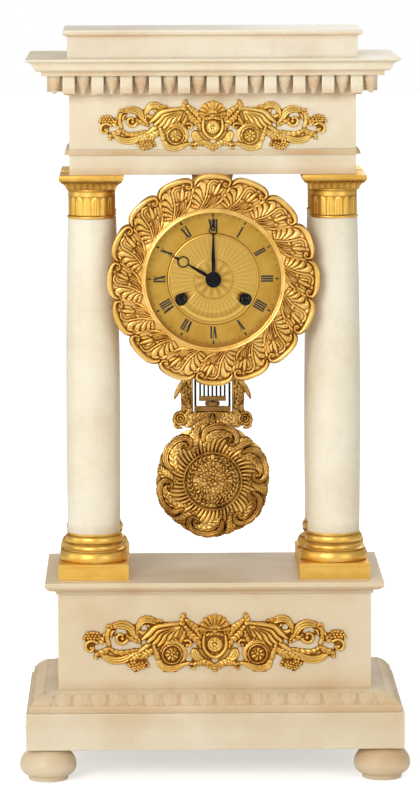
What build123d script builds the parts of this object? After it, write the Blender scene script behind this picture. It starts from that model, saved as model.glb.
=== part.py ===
from build123d import *
import math
import os

# Portico clock: four alabaster columns on a footed base carry an entablature, and a drum with the
# movement hangs under it. Millimetres, +Z up, -Y is the front, origin on the ground at the centre.

# Driving dimensions of the case, as half widths (across X), half depths (along Y) and heights
PLINTH_HALF_X = 123.9
PLINTH_HALF_Y = 73.7
MOULDING_REACH = 18.2
PEDESTAL_HALF_X = 102.9
PEDESTAL_HALF_Y = 52.7
FRIEZE_HALF_X = 93.5
FRIEZE_HALF_Y = 36.3
ATTIC_HALF_X = 94.5
ATTIC_HALF_Y = 37.4
CORNICE_REACH = 27.7
PLINTH_Z = 21.5
MOULDING_Z = 45.8
PEDESTAL_Z = 57.5
CAP_Z = 121.5
CAP_TOP_Z = 130.1
ARCHITRAVE_Z = 395.7
BAND_Z = 408.3
FRIEZE_Z = 412.3
DENTIL_Z = 447.8
CORNICE_Z = 461.0
ATTIC_Z = 472.1
ATTIC_CAP_Z = 486.2
TOP_Z = 490.0

# Columns with their gilt bases and capitals
COLUMN_X = 79.3
COLUMN_Y = 25.0
BASE_HALF = 23.1
BASE_PLINTH_HEIGHT = 10.3
SHAFT_Z = 159.2
SHAFT_TOP_Z = 367.0
SHAFT_R_FOOT = 17.1
SHAFT_R_BELLY = 17.6
SHAFT_R_NECK = 15.6
SHAFT_BELLY_Z = 235.0
ABACUS_HALF = 20.95
FLUTES = 20

# Gilt mounts on the pedestal and on the frieze, the same model in two sizes
PEDESTAL_MOUNT_Z = 90.5
FRIEZE_MOUNT_Z = 429.0
FRIEZE_MOUNT_SIZE = 0.858
MOUNT_PLATE = 1.6
MOUNT_RELIEF = 3.0

# Feet
FOOT_X = 109.8
FOOT_Y = 59.5
FOOT_R = 18.6
FOOT_BELLY_Z = 9.7
FOOT_DISC_R = 12.9

# Iron tie rods that clamp the whole stack
ROD_R = 2.5
ROD_HOLE_R = 3.0
ROD_ENDS_Z = (22.5, 447.0)
NUT_R = 5.2
NUT_HEIGHT = 4.0
NUT_POCKET_R = 7.0
NUT_POCKET_DEPTH = 6.2

# Dentil course
DENTIL_PITCH = 18.66
DENTIL_WIDTH = 8.0
DENTIL_HALF_X = 108.0
DENTIL_HALF_Y = 50.8
DENTIL_BACK = 3.4
DENTIL_BOTTOM_Z = 449.4
DENTILS_FRONT = 11
PENDANT_INSET = 9.1
PENDANT_R = 4.3

# Clock head, seen along Y about the dial centre
DIAL_Z = 328.0
DIAL_R = 46.2
DIAL_FACE_Y = -42.0
DIAL_BACK_Y = -40.2
DIAL_DISC_R = 29.8
DIAL_DISC_Y = -42.8
WINDING_X = 21.0
WINDING_DROP = 13.4
WINDING_HOLE_R = 3.95
DRUM_R = 48.0
DRUM_BORE_R = 46.5
DRUM_FRONT_Y = -44.2
DRUM_BACK_Y = 36.0
BEZEL_R = 69.4
BEZEL_SHOULDER_R = 69.0
BEZEL_NOTCH_R = 65.8
BEZEL_LOBES = 16
BEZEL_BACK_Y = -44.5
BEZEL_FACE_Y = -48.4
BEZEL_LIP_Y = -51.6
BEZEL_SIGHT_R = 44.0
GLASS_R = 46.0
GLASS_FRONT_Y = -50.2
GLASS_BACK_Y = -48.9
DOOR_HINGE_X = -52.0
DOOR_HINGE_Y = -46.4
BACK_HINGE_X = -50.5
BACK_HINGE_Y = 37.0
BACK_DOOR_R = 48.6
KNUCKLE_R = 1.25
HINGE_PIN_R = 0.6
RUNNING_GAP = 0.06

# Movement between its two brass plates
PLATE_FRONT_Y = (-35.0, -33.0)
PLATE_BACK_Y = (5.0, 7.0)
PLATE_R = 46.2
BACK_PLATE_R = 42.0
PIVOT_R = 1.0
MOTION_DISTANCE = 12.0
CANNON_TEETH = 12
MINUTE_WHEEL_TEETH = 36
MINUTE_PINION_TEETH = 10
HOUR_WHEEL_TEETH = 40
GREAT_WHEEL_TEETH = 70
CENTRE_PINION_TEETH = 16
BARREL_R = 19.0
BARREL_BORE_R = 2.2
GOING_GREAT_Y = (-30.6, -29.1)
GOING_BODY_Y = (-29.1, -6.0)
STRIKE_GREAT_Y = (0.0, 1.5)
STRIKE_BODY_Y = (-24.0, 0.0)
ARBOR_PIVOT_R = 1.8
WINDING_SQUARE = 3.4
PALLET_RISE = 30.0
PALLET_ARBOR_R = 0.8
MINUTE_PIPE_R = 1.6
HOUR_PIPE_R = 2.6
HANDS_Y = {"hour": (-44.4, -43.8), "minute": (-46.4, -45.8), "nut": (-47.6, -46.4)}
HAMMER_X = 36.5
HAMMER_DROP = 18.0
BELL_R = 30.0

# Pendulum, hung at the height of the pallet arbor behind the back plate
SUSPENSION_Z = DIAL_Z + PALLET_RISE
PENDULUM_Y = 15.0
BOB_Z = 186.9
BOB_R = 39.2
BOB_PLATE = 3.0
MEDALLION_R = 20.4
GRID_PITCH = 2.73
GRID_OUTER_X = 11.4
GRID_TOP_Z = 268.0
GRID_CROSS_Z = (240.5, 243.7)
GRID_BAR_Z = (233.6, 237.0)
NUT_Z = (237.4, 240.1)

os.makedirs("parts", exist_ok=True)
CORNERS = {"front_left": (-1, -1), "front_right": (1, -1), "back_left": (-1, 1), "back_right": (1, 1)}


def save(name, shape):
    """Write one piece to its own file."""
    export_step(shape, "parts/" + name + ".step")


def outline(start, steps):
    """Edges from start through steps: two numbers are a line's end, four an arc's middle and end."""
    edges = []
    here = start
    for step in steps:
        there = step[-2:]
        if len(step) == 2:
            edges.append(Line(here, there))
        else:
            edges.append(ThreePointArc(here, step[:2], there))
        here = there
    return edges


def turned(start, steps):
    """A body turned about Z: the outline is given as radius and height, from bottom to top."""
    bottom, top = start[1], steps[-1][-1]
    edges = outline(start, steps)
    edges += [Line((0, bottom), start), Line(steps[-1][-2:], (0, top)), Line((0, top), (0, bottom))]
    return revolve(Plane.XZ * make_face(edges), Axis.Z)


def moulded(half_x, half_y, start, steps):
    """A rectangular slab whose four edges carry one moulding, mitred at the corners."""
    bodies = []
    for half, plane, reach in ((half_x, Plane.XZ, 2 * half_y), (half_y, Plane.YZ, 2 * half_x)):
        shifted = [tuple(v + half * (1 - i % 2) for i, v in enumerate(s)) for s in steps]
        first = (start[0] + half, start[1])
        last = shifted[-1][-2:]
        side = outline(first, shifted)
        other = [mirror(edge, Plane.YZ) for edge in side]
        ends = [Line(first, (-first[0], first[1])), Line(last, (-last[0], last[1]))]
        bodies.append(extrude(plane * make_face(side + other + ends), reach, both=True))
    return bodies[0] & bodies[1]


def block(x, y, z):
    """A box given by its two limits along each axis."""
    size = [abs(a[1] - a[0]) for a in (x, y, z)]
    return Pos(sum(x) / 2, sum(y) / 2, sum(z) / 2) * Box(*size)


def rod_y(x, z, radius, y):
    """A round rod along Y between two limits, at a place on the clock face."""
    return Pos(x, sum(y) / 2, DIAL_Z + z) * Rot(90, 0, 0) * Cylinder(radius, abs(y[1] - y[0]))


def rod_z(x, y, radius, z):
    """An upright round rod between two heights."""
    return Pos(x, y, sum(z) / 2) * Cylinder(radius, abs(z[1] - z[0]))


def face_plate(sketch, y, x=0.0, z=0.0):
    """A sketch drawn as seen from the front, made a plate between two depths."""
    front, back = min(y), max(y)
    return Pos(x, back, DIAL_Z + z) * extrude(Plane.XZ * sketch, back - front)


def rod_holes(z):
    """The four clearance holes for the tie rods between two heights."""
    return [rod_z(sx * COLUMN_X, sy * COLUMN_Y, ROD_HOLE_R, z) for sx, sy in CORNERS.values()]


def gear(teeth, module, y, x=0.0, z=0.0, turn=0.0):
    """A spur wheel with straight-sided teeth; turn is the angle of its first tooth from +X."""
    pitch_r = module * teeth / 2
    shape = ((pitch_r - 1.25 * module, 0.30), (pitch_r + 0.85 * module, 0.10))
    points = []
    for tooth in range(teeth):
        for radius, width in (shape[0], shape[1]):
            points.append((radius, (tooth - width) * 360 / teeth + turn))
        for radius, width in (shape[1], shape[0]):
            points.append((radius, (tooth + width) * 360 / teeth + turn))
    corners = [(r * math.cos(math.radians(a)), r * math.sin(math.radians(a))) for r, a in points]
    return face_plate(make_face(Polyline(*corners, close=True)), y, x, z)


# Bun feet: a flattened ball on a small disc
for name, (sx, sy) in CORNERS.items():
    foot = turned((12.1, 0), [(12.666, 0.234, FOOT_DISC_R, 0.8), (FOOT_DISC_R, 3.0), (14.4, 3.4),
                              (17.4, 6.1, FOOT_R, FOOT_BELLY_Z), (16.6, 16.2, 9.6, PLINTH_Z)])
    save("foot_" + name, Pos(sx * FOOT_X, sy * FOOT_Y, 0) * foot)

# Base: plinth slab, carved moulding, pedestal block and its moulded cap
plinth = block((-PLINTH_HALF_X, PLINTH_HALF_X), (-PLINTH_HALF_Y, PLINTH_HALF_Y), (PLINTH_Z, MOULDING_Z))
plinth = chamfer(plinth.edges(), 0.5)
pockets = [rod_z(sx * COLUMN_X, sy * COLUMN_Y, NUT_POCKET_R, (PLINTH_Z, PLINTH_Z + NUT_POCKET_DEPTH))
           for sx, sy in CORNERS.values()]
save("base_plinth", plinth - rod_holes((PLINTH_Z, MOULDING_Z)) - pockets)

moulding = moulded(PEDESTAL_HALF_X, PEDESTAL_HALF_Y, (MOULDING_REACH, MOULDING_Z),
                   [(MOULDING_REACH, 49.6), (17.0, 50.6), (11.3, 54.9, 0.5, PEDESTAL_Z)])
save("base_moulding", moulding - rod_holes((MOULDING_Z, PEDESTAL_Z)))

pedestal = block((-PEDESTAL_HALF_X, PEDESTAL_HALF_X), (-PEDESTAL_HALF_Y, PEDESTAL_HALF_Y), (PEDESTAL_Z, CAP_Z))
save("pedestal", pedestal - rod_holes((PEDESTAL_Z, CAP_Z)))

cap = moulded(PEDESTAL_HALF_X, PEDESTAL_HALF_Y, (1.4, CAP_Z),
              [(1.4, 123.9), (2.4, 123.9), (5.6, 124.9, 8.3, 127.0), (8.3, CAP_TOP_Z)])
save("pedestal_cap", cap - rod_holes((CAP_Z, CAP_TOP_Z)))

# Columns: gilt base, swelling alabaster shaft and gilt capital, all bored for the tie rod
torus_z = CAP_TOP_Z + BASE_PLINTH_HEIGHT
base = moulded(BASE_HALF, BASE_HALF, (0, CAP_TOP_Z),
               [(0, torus_z - 0.9), (-0.6, torus_z)])
base += turned((20.9, torus_z), [(20.9, 141.3), (21.7, 144.6, 20.7, 147.9), (19.5, 147.9), (19.5, 148.7),
                                 (18.2, 150.2, 17.5, 152.9), (17.9, 152.9), (17.9, 153.7),
                                 (18.4, 155.8, 17.7, 158.0), (17.4, 158.0), (17.4, SHAFT_Z)])
base -= rod_z(0, 0, ROD_HOLE_R, (CAP_TOP_Z, SHAFT_Z))
shaft = turned((SHAFT_R_FOOT, SHAFT_Z), [(SHAFT_R_BELLY, SHAFT_BELLY_Z, SHAFT_R_NECK, SHAFT_TOP_Z)])
shaft -= rod_z(0, 0, ROD_HOLE_R, (SHAFT_Z, SHAFT_TOP_Z))
capital = turned((15.7, SHAFT_TOP_Z), [(16.7, 368.2, 15.7, 369.4), (15.7, 370.0), (16.0, 370.0),
                                       (16.0, 380.6), (15.7, 381.4), (15.7, 385.8), (16.1, 386.3)])
capital += moulded(ABACUS_HALF, ABACUS_HALF, (-4.9, 386.2),
                   [(-3.4, 389.8, -0.9, 391.4), (-0.9, 392.2), (0, 392.2), (0, ARCHITRAVE_Z)])
flute = Pos(16.2, 0, 375.3) * Cylinder(0.9, 9.6)
capital -= PolarLocations(0, FLUTES) * flute
capital -= rod_z(0, 0, ROD_HOLE_R, (SHAFT_TOP_Z, ARCHITRAVE_Z))
for name, (sx, sy) in CORNERS.items():
    place = Pos(sx * COLUMN_X, sy * COLUMN_Y, 0)
    save("column_base_" + name, place * base)
    save("column_" + name, place * shaft)
    save("capital_" + name, place * capital)

# Entablature: architrave, band, frieze, dentil course, cornice, attic and its cap
architrave = block((-FRIEZE_HALF_X, FRIEZE_HALF_X), (-FRIEZE_HALF_Y, FRIEZE_HALF_Y), (ARCHITRAVE_Z, BAND_Z))
save("architrave", architrave - rod_holes((ARCHITRAVE_Z, BAND_Z)))

band = block((-FRIEZE_HALF_X, FRIEZE_HALF_X), (-FRIEZE_HALF_Y - 0.4, FRIEZE_HALF_Y), (BAND_Z, FRIEZE_Z))
band_edge = outline((0, BAND_Z), [(3.3, BAND_Z), (3.0, 410.8, 0.4, FRIEZE_Z), (0, FRIEZE_Z), (0, BAND_Z)])
strip = extrude(Plane.XZ * make_face(band_edge), FRIEZE_HALF_Y - 4, both=True)
right_strip = Pos(FRIEZE_HALF_X, 4, 0) * strip
band += [right_strip, mirror(right_strip, Plane.YZ)]
save("architrave_band", band - rod_holes((BAND_Z, FRIEZE_Z)))

frieze = block((-FRIEZE_HALF_X, FRIEZE_HALF_X), (-FRIEZE_HALF_Y, FRIEZE_HALF_Y), (FRIEZE_Z, DENTIL_Z))
pockets = [rod_z(sx * COLUMN_X, sy * COLUMN_Y, NUT_POCKET_R, (DENTIL_Z - NUT_POCKET_DEPTH, DENTIL_Z))
           for sx, sy in CORNERS.values()]
save("frieze", frieze - rod_holes((FRIEZE_Z, DENTIL_Z)) - pockets)

back_x = FRIEZE_HALF_X + DENTIL_BACK
back_y = FRIEZE_HALF_Y + DENTIL_BACK
dentils = block((-back_x, back_x), (-back_y, back_y), (DENTIL_Z, CORNICE_Z))
half = DENTIL_WIDTH / 2
for i in range(DENTILS_FRONT):
    x = (i - (DENTILS_FRONT - 1) / 2) * DENTIL_PITCH
    dentils += block((x - half, x + half), (-DENTIL_HALF_Y, -back_y), (DENTIL_BOTTOM_Z, CORNICE_Z))
for i in (-1, 0, 1):
    y = i * DENTIL_PITCH
    dentils += block((-DENTIL_HALF_X, DENTIL_HALF_X), (y - half, y + half), (DENTIL_BOTTOM_Z, CORNICE_Z))
save("dentil_course", dentils)

drop = turned((0.5, 448.9), [(1.2, 449.6, 0.9, 450.6), (1.9, 451.4), (2.5, 453.0), (2.9, 453.0),
                             (3.4, 455.2), (3.8, 455.2), (PENDANT_R, 457.9), (PENDANT_R, CORNICE_Z)])
row_x = FRIEZE_HALF_X + PENDANT_INSET
row_y = FRIEZE_HALF_Y + PENDANT_INSET
places = [((i - (DENTILS_FRONT - 2) / 2) * DENTIL_PITCH, -row_y) for i in range(DENTILS_FRONT - 1)]
for side in (-row_x, row_x):
    places += [(side, y) for y in (-row_y, row_y)]
    places += [(side, i * DENTIL_PITCH / 2) for i in (-3, -1, 1, 3)]
save("dentil_pendants", Compound([Pos(x, y, 0) * drop for x, y in places]))

cornice = moulded(FRIEZE_HALF_X, FRIEZE_HALF_Y, (17.5, CORNICE_Z),
                  [(17.5, 463.9), (19.1, 464.1), (21.2, 464.7, 22.3, 466.4), (23.0, 468.2, 24.3, 469.6),
                   (CORNICE_REACH, 470.9), (CORNICE_REACH, ATTIC_Z)])
save("cornice", cornice)

attic_edge = [(0, ATTIC_CAP_Z), (1.2, ATTIC_CAP_Z), (2.4, 486.8, 3.0, 487.8), (3.0, 489.4), (2.6, TOP_Z)]
save("attic", moulded(ATTIC_HALF_X, ATTIC_HALF_Y, (0, ATTIC_Z), attic_edge))

# Tie rods through each column, with a hexagon nut in the plinth's and in the frieze's pockets
rods = [rod_z(sx * COLUMN_X, sy * COLUMN_Y, ROD_R, ROD_ENDS_Z) for sx, sy in CORNERS.values()]
save("tie_rods", Compound(rods))
nuts = []
for nut_z in (PLINTH_Z + NUT_POCKET_DEPTH - NUT_HEIGHT, DENTIL_Z - NUT_POCKET_DEPTH):
    nut = extrude(Pos(0, 0, nut_z) * RegularPolygon(NUT_R, 6), NUT_HEIGHT)
    nut -= rod_z(0, 0, ROD_R + 0.02, (nut_z, nut_z + NUT_HEIGHT))
    nuts += [Pos(sx * COLUMN_X, sy * COLUMN_Y, 0) * nut for sx, sy in CORNERS.values()]
save("tie_rod_nuts", Compound(nuts))


def foliate_mount(size, y, z):
    """A pierced scroll mount: palmette and boss in the middle, rinceaux with volutes to each side."""
    low = Sketch() + Ellipse(10.4, 9.6) - Pos(0, 14) * Rectangle(30, 16)
    low += [Pos(0, 7) * Rot(0, 0, a) * Pos(0, 6.4) * Ellipse(1.9, 6.4) for a in range(-72, 73, 18)]
    low += [Pos(0, -9) * Rot(0, 0, a) * Pos(0, -5.6) * Ellipse(1.7, 4.0) for a in (-40, 0, 40)]
    side = Sketch() + SlotArc(ThreePointArc((-8, -6), (-12.6, -10.5), (-16, -5)), 2.4)
    side += SlotArc(ThreePointArc((-11, 4), (-17, -2.5), (-24, -4)), 3.2)
    side += Pos(-17, -1) * Circle(3.1)
    side += Pos(-28.5, -6.3) * Circle(5.9)
    side += SlotArc(ThreePointArc((-22, 13.4), (-27.5, 7.4), (-26, 0.5)), 5.2)
    side += SlotArc(ThreePointArc((-27, -1), (-36, 8.4), (-46, 11.8)), 4.4)
    side += SlotArc(ThreePointArc((-15.7, -15.4), (-26, -16.6), (-36, -12)), 2.6)
    side += SlotArc(ThreePointArc((-33, -5), (-41.5, -1.5), (-49, 5.2)), 4.6)
    side += Pos(-46.6, -10.2) * Circle(3.4)
    side += SlotArc(ThreePointArc((-36, -8.6), (-46, -7.4), (-55.6, -10)), 3.0)
    side += Pos(-60.7, 3.1) * Circle(7.9) - Pos(-60.7, 3.1) * Circle(5.2)
    side += Pos(-60.7, 3.1) * Circle(3.0)
    side += SlotArc(ThreePointArc((-60.7, 3.1), (-56.4, 1.0), (-53.4, 3.9)), 2.0)
    side += SlotArc(ThreePointArc((-54, -9.2), (-64.5, -9.9), (-75, -6.6)), 2.8)
    side += SlotArc(ThreePointArc((-66, 9.6), (-71.6, 9.4), (-76, 5.4)), 3.0)
    side += Pos(-78.4, -7.6) * Circle(3.3)
    side += SlotArc(ThreePointArc((-66.5, -1.5), (-72.5, 1.8), (-79, 1.2)), 3.0)
    side += Pos(-80, 0.4) * Circle(5.2)
    both = low + side + mirror(side, Plane.YZ)
    raised = Sketch() + Ellipse(7.4, 6.8) + Pos(-28.5, -6.3) * Circle(3.4) + Pos(28.5, -6.3) * Circle(3.4)
    raised += [Pos(sx * 60.7, 3.1) * Circle(1.9) for sx in (-1, 1)]
    raised += [Pos(sx * 80, 0.4) * Circle(3.2) for sx in (-1, 1)]
    plate = extrude(Plane.XZ * both, MOUNT_PLATE) + extrude(Plane.XZ * raised, MOUNT_RELIEF)
    return Pos(0, y, z) * scale(plate, size)


save("pedestal_mount", foliate_mount(1.0, -PEDESTAL_HALF_Y, PEDESTAL_MOUNT_Z))
save("frieze_mount", foliate_mount(FRIEZE_MOUNT_SIZE, -FRIEZE_HALF_Y, FRIEZE_MOUNT_Z))

# Drum that holds the movement, with a ledge for the front plate and a slot for the pendulum rod
drum = rod_y(0, 0, DRUM_R, (DRUM_FRONT_Y, DRUM_BACK_Y)) - rod_y(0, 0, DRUM_BORE_R, (DRUM_FRONT_Y, DRUM_BACK_Y))
ledge = (PLATE_FRONT_Y[1], PLATE_FRONT_Y[1] + 1.6)
drum += rod_y(0, 0, DRUM_BORE_R + 0.2, ledge) - rod_y(0, 0, DRUM_BORE_R - 3.5, ledge)
drum -= block((-8, 8), (PENDULUM_Y - 6, PENDULUM_Y + 6), (DIAL_Z - 60, DIAL_Z - 40))
bore = rod_y(0, 0, DRUM_BORE_R, (DRUM_FRONT_Y, DRUM_BACK_Y))
knuckle_z = (DIAL_Z - 4.6, DIAL_Z + 4.6)
hinge = rod_z(DOOR_HINGE_X, DOOR_HINGE_Y, KNUCKLE_R, knuckle_z)
hinge += block((DOOR_HINGE_X, -48.2), (-47.0, -45.6), knuckle_z)
hinge += block((-49.6, -47.0), (-47.0, -39.6), knuckle_z)
hinge -= rod_z(DOOR_HINGE_X, DOOR_HINGE_Y, HINGE_PIN_R + RUNNING_GAP, knuckle_z)
hinge -= block((-48.4, -40), (-50, DRUM_FRONT_Y), knuckle_z)
fixed_z = (DIAL_Z - 2.2, DIAL_Z + 2.2)
lug = rod_z(BACK_HINGE_X, BACK_HINGE_Y, KNUCKLE_R, fixed_z)
lug += block((BACK_HINGE_X - KNUCKLE_R, -49.4), (31, BACK_HINGE_Y), fixed_z)
lug += block((BACK_HINGE_X, -47), (31, 35.8), fixed_z)
lug -= rod_z(BACK_HINGE_X, BACK_HINGE_Y, HINGE_PIN_R + RUNNING_GAP, fixed_z)
save("drum_case", drum + (hinge - bore) + (lug - bore))
saddle = block((-20, 20), (-16, 20), (DIAL_Z + 38, ARCHITRAVE_Z))
saddle -= [Pos(sx * 26, 2, DIAL_Z + 62) * Rot(90, 0, 0) * Cylinder(13, 60) for sx in (-1, 1)]
save("drum_bracket", saddle - rod_y(0, 0, DRUM_R, (-60, 60)))

# Bezel: a glazed door whose broad rim is cast with sixteen whirling leaves
pitch = 360 / BEZEL_LOBES
shoulder, corner = 0.28, 0.41
corner_r = (BEZEL_SHOULDER_R + BEZEL_NOTCH_R) / 2 + 0.5
steps = [(BEZEL_NOTCH_R, -0.5), (corner_r, -corner), (BEZEL_SHOULDER_R, -shoulder), (BEZEL_R, 0),
         (BEZEL_SHOULDER_R, shoulder), (corner_r, corner), (BEZEL_NOTCH_R, 0.5)]
rim = []
for i in range(BEZEL_LOBES):
    ends = [(r * math.sin(math.radians((i + step) * pitch)), r * math.cos(math.radians((i + step) * pitch)))
            for r, step in steps]
    rim += [ThreePointArc(*ends[k:k + 3]) for k in (0, 2, 4)]
bezel = face_plate(make_face(rim), (BEZEL_FACE_Y, BEZEL_BACK_Y))
ring = [(BEZEL_SIGHT_R, BEZEL_LIP_Y + 0.5), (BEZEL_SIGHT_R + 0.6, BEZEL_LIP_Y), (46.2, BEZEL_LIP_Y),
        (47.0, -50.6), (48.4, -50.2), (49.6, BEZEL_FACE_Y), (49.6, BEZEL_BACK_Y), (BEZEL_SIGHT_R, BEZEL_BACK_Y)]
ring_face = Plane.XY * make_face(Polyline(*ring, close=True))
bezel += Pos(0, 0, DIAL_Z) * revolve(ring_face, Axis.Y)
leaf = Sketch() + SlotArc(ThreePointArc((-11.6, 61.4), (-1.0, 66.6), (9.4, 62.8)), 2.6)
leaf += [SlotArc(ThreePointArc((-10.6 + 1.0 * k, 59.6 - 2.5 * k), (-6.2 + 0.9 * k, 58.4 - 2.2 * k),
                               (-3.2 + 0.2 * k, 54.0 - 1.5 * k)), 1.5) for k in range(4)]
leaf += SlotArc(ThreePointArc((-1.0, 50.4), (2.4, 55.0), (4.4, 60.6)), 1.3)
leaf += SlotArc(ThreePointArc((2.0, 50.4), (6.0, 54.0), (8.8, 58.8)), 1.3)
leaf += Pos(10.4, 60.0) * Circle(1.7)
leaves = Sketch() + [Rot(0, 0, i * pitch) * leaf for i in range(BEZEL_LOBES)]
bezel += face_plate(leaves, (BEZEL_FACE_Y - 1.4, BEZEL_FACE_Y + 0.6))
bezel -= rod_y(0, 0, BEZEL_SIGHT_R, (-60, -40))
bezel -= rod_y(0, 0, GLASS_R + 0.1, (GLASS_FRONT_Y, -40))

# The door hinge works inside the casting: a pocket for the fixed knuckle, a pin across it
pocket_z = (DIAL_Z - 4.8, DIAL_Z + 4.8)
bezel -= block((DOOR_HINGE_X - 2.3, DOOR_HINGE_X + 4.7), (DOOR_HINGE_Y - 1.4, -40), pocket_z)
bezel += rod_z(DOOR_HINGE_X, DOOR_HINGE_Y, HINGE_PIN_R, (DIAL_Z - 7.4, DIAL_Z + 7.4))
save("bezel", bezel)
save("bezel_glass", rod_y(0, 0, GLASS_R, (GLASS_FRONT_Y, GLASS_BACK_Y)))

# Back door of the drum, with a hinge on the same side
door = rod_y(0, 0, BACK_DOOR_R, (36.2, 37.4)) + rod_y(0, 0, 45.0, (37.4, 38.0))
door += rod_y(40, 0, 1.6, (38.0, 42.0))
tab_z = ((DIAL_Z - 5.5, DIAL_Z - 2.4), (DIAL_Z + 2.4, DIAL_Z + 5.5))
for limits in tab_z:
    door += block((BACK_HINGE_X, -46), (36.2, 37.4), limits)
    door += rod_z(BACK_HINGE_X, BACK_HINGE_Y, KNUCKLE_R, limits)
door += rod_z(BACK_HINGE_X, BACK_HINGE_Y, HINGE_PIN_R, (DIAL_Z - 5.5, DIAL_Z + 5.5))
save("back_door", door)

# Dial: engraved chapter ring, raised centre disc, two winding holes and three feet
dial = rod_y(0, 0, DIAL_R, (DIAL_FACE_Y, DIAL_BACK_Y)) + rod_y(0, 0, DIAL_DISC_R, (DIAL_DISC_Y, DIAL_BACK_Y))
dial += rod_y(0, 0, 12.6, (DIAL_DISC_Y - 0.3, DIAL_BACK_Y))
dial += [rod_y(40 * math.cos(math.radians(a)), 40 * math.sin(math.radians(a)), 1.2,
               (DIAL_BACK_Y, PLATE_FRONT_Y[0])) for a in (90, 205, 335)]
dial -= rod_y(0, 0, 3.2, (-44, -38))
dial -= [rod_y(sx * WINDING_X, -WINDING_DROP, WINDING_HOLE_R, (-44, -38)) for sx in (-1, 1)]
save("dial", dial)


def hand(boss_r, root, ring_at, ring_r, tip, y, bore_r, angle):
    """A moon hand: swelling arm, open ring and pointed tip, turned clockwise from twelve."""
    left = [(-root / 2, 2), (-root * 0.6, ring_at * 0.4), (-0.45, ring_at - ring_r + 0.3)]
    right = [(-x, y) for x, y in reversed(left)]
    foot = ring_at + ring_r - 0.3
    shape = Circle(boss_r) + make_face(Polyline(*left, *right, close=True)) + Pos(0, ring_at) * Circle(ring_r)
    shape += make_face(Polyline((-0.9, foot), (0, tip), (0.9, foot), close=True))
    shape -= Pos(0, ring_at) * Circle(ring_r - 0.75)
    shape -= Circle(bore_r)
    return face_plate(Rot(0, 0, -angle) * shape, y)


save("hour_hand", hand(4.2, 1.9, 22.7, 3.75, 32.8, HANDS_Y["hour"], HOUR_PIPE_R, 300))
save("minute_hand", hand(4.0, 2.0, 32.0, 2.8, 42.2, HANDS_Y["minute"], MINUTE_PIPE_R, 0))
slot = block((-6, 6), (HANDS_Y["nut"][0] - 1, HANDS_Y["nut"][0] + 0.5), (DIAL_Z - 0.4, DIAL_Z + 0.4))
nut = rod_y(0, 0, 5.2, HANDS_Y["nut"]) - slot
save("hand_nut", nut)

# Motion work between dial and front plate: cannon pinion, minute wheel and hour wheel
wheel_module = 2 * MOTION_DISTANCE / (CANNON_TEETH + MINUTE_WHEEL_TEETH)
pinion_module = 2 * MOTION_DISTANCE / (MINUTE_PINION_TEETH + HOUR_WHEEL_TEETH)
cannon = gear(CANNON_TEETH, wheel_module, (-37.4, -35.4), turn=90)
cannon += rod_y(0, 0, MINUTE_PIPE_R, (-46.4, -35.4))
save("cannon_pinion", cannon - rod_y(0, 0, PIVOT_R, (-46.4, -35.4)))
wheel = gear(MINUTE_WHEEL_TEETH, wheel_module, (-37.0, -35.8), 0, MOTION_DISTANCE, turn=270 + 5)
wheel += gear(MINUTE_PINION_TEETH, pinion_module, (-39.7, -36.5), 0, MOTION_DISTANCE, turn=270)
save("minute_wheel", wheel - rod_y(0, MOTION_DISTANCE, PIVOT_R + RUNNING_GAP, (-40, -35)))
hour = gear(HOUR_WHEEL_TEETH, pinion_module, (-39.4, -38.0), turn=90 + 4.5)
hour += rod_y(0, 0, HOUR_PIPE_R, (-44.4, -38.0))
save("hour_wheel", hour - rod_y(0, 0, MINUTE_PIPE_R + RUNNING_GAP, (-45, -37)))

# Centre arbor with its pinion, driven by the going barrel's great wheel
reach = math.hypot(WINDING_X, WINDING_DROP)
great_module = 2 * reach / (GREAT_WHEEL_TEETH + CENTRE_PINION_TEETH)
mesh = math.degrees(math.atan2(WINDING_DROP, -WINDING_X))
centre = rod_y(0, 0, PIVOT_R, (-46.4, 8.0)) + rod_y(0, 0, 1.6, (-32.6, 4.6))
centre += gear(CENTRE_PINION_TEETH, great_module, (-32.0, -28.5), turn=mesh + 180)
save("centre_arbor", centre)
z = -WINDING_DROP
for name, x, great_y, body_y in (("going", WINDING_X, GOING_GREAT_Y, GOING_BODY_Y),
                                 ("strike", -WINDING_X, STRIKE_GREAT_Y, STRIKE_BODY_Y)):
    barrel = gear(GREAT_WHEEL_TEETH, great_module, great_y, x, z, turn=mesh + 180 / GREAT_WHEEL_TEETH)
    barrel += rod_y(x, z, BARREL_R, body_y)
    save(name + "_barrel", barrel - rod_y(x, z, BARREL_BORE_R + RUNNING_GAP, (-40, 10)))
    arbor = rod_y(x, z, BARREL_BORE_R, (-32.8, 4.8)) + rod_y(x, z, ARBOR_PIVOT_R, (-35.2, 8.0))
    arbor += Pos(x, -38.2, DIAL_Z + z) * Box(WINDING_SQUARE, 6.0, WINDING_SQUARE)
    save(name + "_arbor", arbor)

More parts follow.
